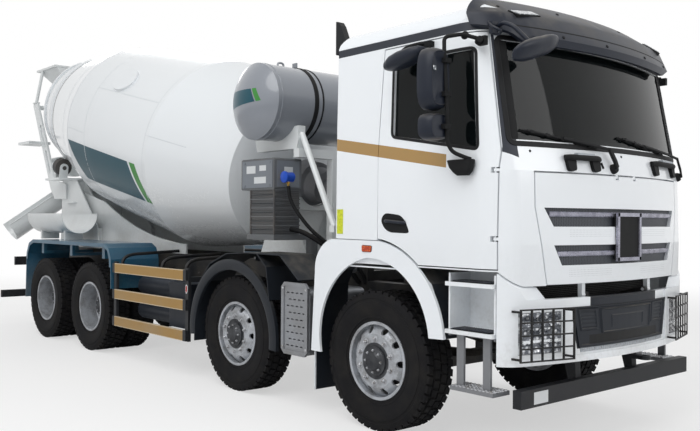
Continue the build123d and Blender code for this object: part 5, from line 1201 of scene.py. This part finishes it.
# Step pads: black studded pads on the two boxed treads, and a toothed grating on the hanging step.
# Studs and teeth are set in rows.
stud = fastener("pad_stud", ([(0, -0.001), (0.009, -0.001), (0.007, 0.005), (0, 0.0055)], 8))
tooth = fastener("step_tooth", (
    [(0, -0.002), (0.013, -0.002), (0.011, 0.005), (0.006, 0.006), (0.005, 0.001), (0, 0.001)], 8))
pads, stud_places, tooth_places = bmesh.new(), [], []
for way in (-1, 1):
    for z in (1.193, 0.868):
        low_y, high_y = sorted((way * 1.075, way * 1.222))
        brick(pads, (0.785, low_y, z - 0.003), (1.112, high_y, z + 0.006), 0.003)
        stud_places.extend(Matrix.Translation(at(0.800 + 0.0197 * i, way * (1.088 + 0.0173 * j), z + 0.006))
                           for i in range(16) for j in range(8))
    tooth_places.extend(Matrix.Translation(at(0.802 + 0.032 * i, way * (1.062 + 0.0295 * j), 0.486))
                        for i in range(11) for j in range(6))
finished("step_pads", pads, gap_black)
placed_set("step_studs", stud, stud_places, trim)
placed_set("step_teeth", tooth, tooth_places, plated)


# Drum and tank bands: a plain film band, blue-green with a green end, on both sides of the drum and on
# the tank's near end. They carry nothing else.
DRUM_PITCH = radians(13.45)
FILM = 0.0012
films = [painted(f"film_{name}", base, 0.3, 0.25, 2.2, coat_weight=0.15, specular_ior_level=0.25)
         for name, base in (("teal", (16, 72, 86)), ("green", (62, 134, 60)))]
drum_skin, tank_skin = skin_of("drum"), skin_of("water_tank")
drum_from = at(-2.508, 0, 2.093)
drum_along = Vector((-cos(DRUM_PITCH), 0, sin(DRUM_PITCH)))
drum_up = Vector((-drum_along.z, 0, drum_along.x)) * -1


def on_drum(s, turn, way=1):
    """The drum's skin at a length along its axis and a turn up from its side."""
    out = Vector((0, way, 0)) * cos(turn) + drum_up * sin(turn)
    return drum_skin(drum_from + drum_along * s + out * 1.8, -out)


def drum_place(x, y, z):
    """The length along the drum's axis and the turn up from its side of a point on the truck."""
    gap = at(x, y, z) - drum_from
    s = gap.dot(drum_along)
    return s, atan2((gap - drum_along * s).dot(drum_up), abs(y))


def film_band(name, finish, corners, start, stop, columns, rows, spot_of, body):
    """A film between four corners, from the share start to the share stop of their length."""
    def place(u, v):
        share = start + (stop - start) * u
        return spot_of(*between(between(*corners[:2], share), between(*corners[:1:-1], share), v))
    shape = bmesh.new()
    relief(shape, place, columns, rows, lambda u, v: FILM, -0.0005)
    finished(name, shape, finish, body, 60)


drum_corners = [drum_place(-5.637, -0.882, 2.141), drum_place(-3.796, -0.944, 1.776),
                drum_place(-3.954, -1.105, 2.233), drum_place(-5.816, -1.086, 2.656)]
tank_corners = [(-1.915, 2.640), (-1.445, 2.680), (-1.505, 2.796), (-1.935, 2.800)]
for end, way in SIDES:
    for name, finish, start, stop, columns in (("band", films[0], 0.0, 0.905, 48),
                                               ("band_end", films[1], 0.93, 1.0, 4)):
        film_band(f"drum_{name}_{end}", finish, drum_corners, start, stop, columns, 14,
                  lambda s, turn: on_drum(s, turn, way), "drum_body")
for name, finish, start, stop, columns in (("band", films[0], 0.0, 0.86, 14),
                                           ("band_end", films[1], 0.89, 1.0, 3)):
    film_band(f"tank_{name}", finish, tank_corners, start, stop, columns, 8,
              lambda x, z: tank_skin(at(x, -2.0, z), (0, 1, 0)), "chassis")


# Oil cooler and control box behind the cab: a slatted core in a frame, a sheet-steel box with raised
# lids, screws and blank plates, and a blue valve with its brass nipples and two black hoses.
VALVE_Y, VALVE_Z, BOX_FACE = -0.985, 1.990, 1.0665
slats, box_lid, blank_plates, valve, brass_parts, hoses = [bmesh.new() for _ in range(6)]
for z in [1.480 + i * 0.0160 for i in range(25)]:
    brick(slats, (-1.750, -1.0560, z), (-1.410, -1.0490, z + 0.006), 0.001, 1)
    brick(slats, (-1.4010, -1.040, z), (-1.3940, -0.770, z + 0.006), 0.001, 1)
for x in (-1.757, -1.403):
    brick(slats, (x - 0.009, -1.0585, 1.470), (x + 0.009, -1.0480, 1.880), 0.002)
brick(box_lid, (-1.880, -BOX_FACE, 1.900), (-1.415, -1.0580, 2.150), 0.003)
brick(box_lid, (-1.3960, -1.030, 1.905), (-1.3880, -0.770, 2.145), 0.003)
for x in (-1.840, -1.455):
    for z in (2.130, 1.920):
        lathe(box_lid, [(0, -0.002), (0.012, -0.002), (0.012, 0.004), (0, 0.006)], at(x, -BOX_FACE, z),
              (0, -1, 0), 12)
for x, z, w, h in ((-1.74, 2.07, 0.07, 0.035), (-1.56, 2.08, 0.05, 0.025), (-1.60, 1.97, 0.09, 0.03)):
    slab(blank_plates, rect(w, h), on_side(-1, x, z, BOX_FACE), -0.001, 0.0015, 0.0005)
slab(blank_plates, rect(0.05, 0.03), aimed(at(-1.388, -0.90, 2.06), (1, 0, 0)), -0.001, 0.0015, 0.0005)
tube(brass_parts, [(-1.392, VALVE_Y, VALVE_Z), (-1.335, VALVE_Y, VALVE_Z)], 0.016)
lathe(valve, [(0, -0.05), (0.040, -0.05), (0.044, -0.044), (0.044, 0.03), (0.052, 0.034), (0.052, 0.052),
              (0.03, 0.06), (0, 0.062)], at(-1.285, VALVE_Y, VALVE_Z), (0, -1, 0), 28)
lathe(valve, [(0, -0.03), (0.03, -0.03), (0.03, 0.03), (0, 0.03)], at(-1.320, VALVE_Y, VALVE_Z), (1, 0, 0),
      20)
lathe(brass_parts, [(0, 0), (0.016, 0), (0.016, 0.02), (0.010, 0.024), (0.010, 0.045), (0, 0.045)],
      at(-1.285, VALVE_Y, 1.950), (0, 0, -1), 14)
tube(hoses, [(-1.285, -0.985, 1.910), (-1.270, -0.970, 1.760), (-1.130, -0.860, 1.520),
             (-0.930, -0.620, 1.280), (-0.860, -0.455, 1.130), (-0.860, -0.430, 1.040)], 0.017, ease=0.12)
tube(hoses, [(-1.400, -0.860, 1.520), (-1.250, -0.840, 1.500), (-1.080, -0.760, 1.400),
             (-0.960, -0.560, 1.200), (-0.930, -0.440, 1.040)], 0.022, ease=0.12)
plate_pale = moulded("blank_plate", (205, 208, 210), 300, 0.5, 0.1)
brass = mottled("brass", (70, 4), 0.4, 0.7, (196, 160, 86), (128, 98, 52), 0.3, metallic=0.9)
finished("cooler_slats", slats, cast)
finished("control_box_lids", box_lid, enamelled("sheet_grey", (118, 124, 132), (112, 106, 96), 0.3, 0.4, 0.2))
finished("blank_plates", blank_plates, plate_pale)
finished("valve", valve, enamelled("valve_blue", (28, 74, 176), (60, 70, 90), 0.25, 0.3))
finished("brass_fittings", brass_parts, brass)
finished("cooler_hoses", hoses, gap_black)


# Water tank: a wide and a narrow black steel band on each half, a rolled seam near each end, and a
# filler cap and a lifting eye on top.
TANK_X = -1.65
bands, beads, tank_top = bmesh.new(), bmesh.new(), bmesh.new()
for y, width, height, shape in ((0.640, 0.050, 0.007, bands), (0.560, 0.018, 0.005, bands),
                                (1.040, 0.016, 0.004, beads)):
    for way in (-1, 1):
        outs = [Vector((cos(2 * pi * i / 72), 0, sin(2 * pi * i / 72))) for i in range(72)]
        spots = [tank_skin(at(TANK_X, way * y, 2.70) + out * 0.6, -out)[0] for out in outs]
        ribbon(shape, spots, outs, width, height, closed=True)
lathe(tank_top, [(0, -0.02), (0.075, -0.02), (0.075, 0.022), (0.085, 0.024), (0.085, 0.046), (0.03, 0.052),
                 (0, 0.052)], at(TANK_X, 0.25, 3.055), steps=32)
tube(tank_top, [(TANK_X, y, z)
                for y, z in ((-0.830, 3.045), (-0.830, 3.092), (-0.760, 3.092), (-0.760, 3.045))], 0.010, 10)
finished("tank_bands", bands, gap_black)
tank_paint = painted("tank_bead_paint", TANK_GREY, 0.3, 0.3, 2.2)
finished("tank_beads", beads, tank_paint)
finished("tank_fittings", tank_top, tank_paint)


# Frame fixings: rows of flanged bolts along both rails, a rivet at each corner of the exhaust box's
# shield, and a blank pale plate on the front bar.
bolt = fastener("frame_bolt", ([(0, -0.002), (0.016, -0.002), (0.016, 0.003), (0, 0.003)], 12),
                ([(0, 0.002), (0.0115, 0.002), (0.0115, 0.011), (0, 0.012)], 6))
rail_skin, shield_skin, bar_plate = skin_of("frame_rails"), skin_of("exhaust_box"), bmesh.new()
rail_spots = [rail_skin(at(0.85 - 0.235 * i, way * 0.62, z), (0, -way, 0))
              for way in (-1, 1) for i in range(36) for z in (0.86, 0.98)]
placed_set("frame_bolts", bolt, [aimed(*found) for found in rail_spots if found and abs(found[1].y) > 0.9],
           cast)
placed_set("shield_rivets", clip_mesh, [aimed(*shield_skin(at(x, -1.5, z), (0, 1, 0)))
                                        for z in (0.52, 1.02) for x in (-1.066, -0.758)], plated)
slab(bar_plate, rect(0.079, 0.040), aimed(at(1.290, -0.910, 0.450), (1, 0, 0)), -0.001, 0.002, 0.0006)
finished("bar_plate", bar_plate, plate_pale)


# Drum seams: low weld beads where the rolled sections meet and straight seams along them, in a paint a
# little darker than the drum's as painted shade, and a dark band of painted shadow in the gap in front of the
# roller track.
seams, roller_shadow = bmesh.new(), bmesh.new()
for s, width, height, shape in ((1.250, 0.012, 0.0016, seams), (2.810, 0.012, 0.0016, seams),
                                (3.360, 0.012, 0.0016, seams), (3.640, 0.012, 0.0016, seams),
                                (4.375, 0.020, 0.0020, roller_shadow)):
    ribbon(shape, *zip(*[on_drum(s, 2 * pi * i / 120) for i in range(120)]), width, height, closed=True)
for start, stop, first_turn in ((0.62, 1.24, 0.9), (1.26, 2.80, 0.55), (2.82, 3.35, 1.1)):
    for turn in [first_turn + 2 * pi * third / 3 for third in range(3)]:
        ribbon(seams, *zip(*[on_drum(start + (stop - start) * i / 10, turn) for i in range(11)]), 0.010,
               0.0014)
# The seams' paint is a little darker than the drum's: painted shade along the beads.
finished("drum_seams", seams, painted("seam_shade_paint", (204, 209, 213), 0.35, 0.35, 2.6), "drum_body")
# A dark band on the skin in front of the roller track: painted shadow in the gap there.
finished("drum_track_gap", roller_shadow, guard_steel, "drum_body")


# Second axle's mudguard lips and side-guard fittings: a rounded moulded lip round each second wheel,
# three black tube hoops from each side guard to the frame, and oval reflectors on their corner posts.
hub_x, _, hub_z = middle("tyre_2_left")
hoops, reflector_rims, reflectors = bmesh.new(), bmesh.new(), bmesh.new()
for end, way in SIDES:
    lip = bmesh.new()

    def on_lip(u, v):
        turn, r = radians(186 - 192 * u), 0.600 + 0.100 * v
        return (Vector((hub_x + r * cos(turn), way * (SIDE - 0.016), hub_z + r * sin(turn))),
                Vector((0, way, 0)))

    relief(lip, on_lip, 64, 8, lambda u, v: 0.002 + 0.010 * (1 - abs(2 * v - 1) ** 3), -0.030)
    finished(f"second_guard_lip_{end}", lip, arch_plastic, sharp=50)
    for x in (-4.060, -3.160, -2.680):
        tube(hoops, [(x, 1.190, 1.050), (x, 1.178, 1.150), (x, 1.080, 1.195), (x, 0.440, 1.222)], 0.019,
             ease=0.08, way=way)
    for width, height, shape, low, high in ((0.022, 0.046, reflector_rims, -0.001, 0.003),
                                            (0.014, 0.034, reflectors, 0.002, 0.005)):
        oval = [(width * cos(2 * pi * i / 24), height * sin(2 * pi * i / 24)) for i in range(24)]
        slab(shape, oval, on_side(way, -2.632, 0.900, SIDE - 0.024), low, high, 0.001)
finished("guard_hoops", hoops, guard_steel)
finished("reflector_rims", reflector_rims, plate_pale)
finished("reflectors", reflectors,
         mottled("signal_red", (140.0,), 0.1, 0.6, (214, 40, 28), (140, 16, 14), 0.2))
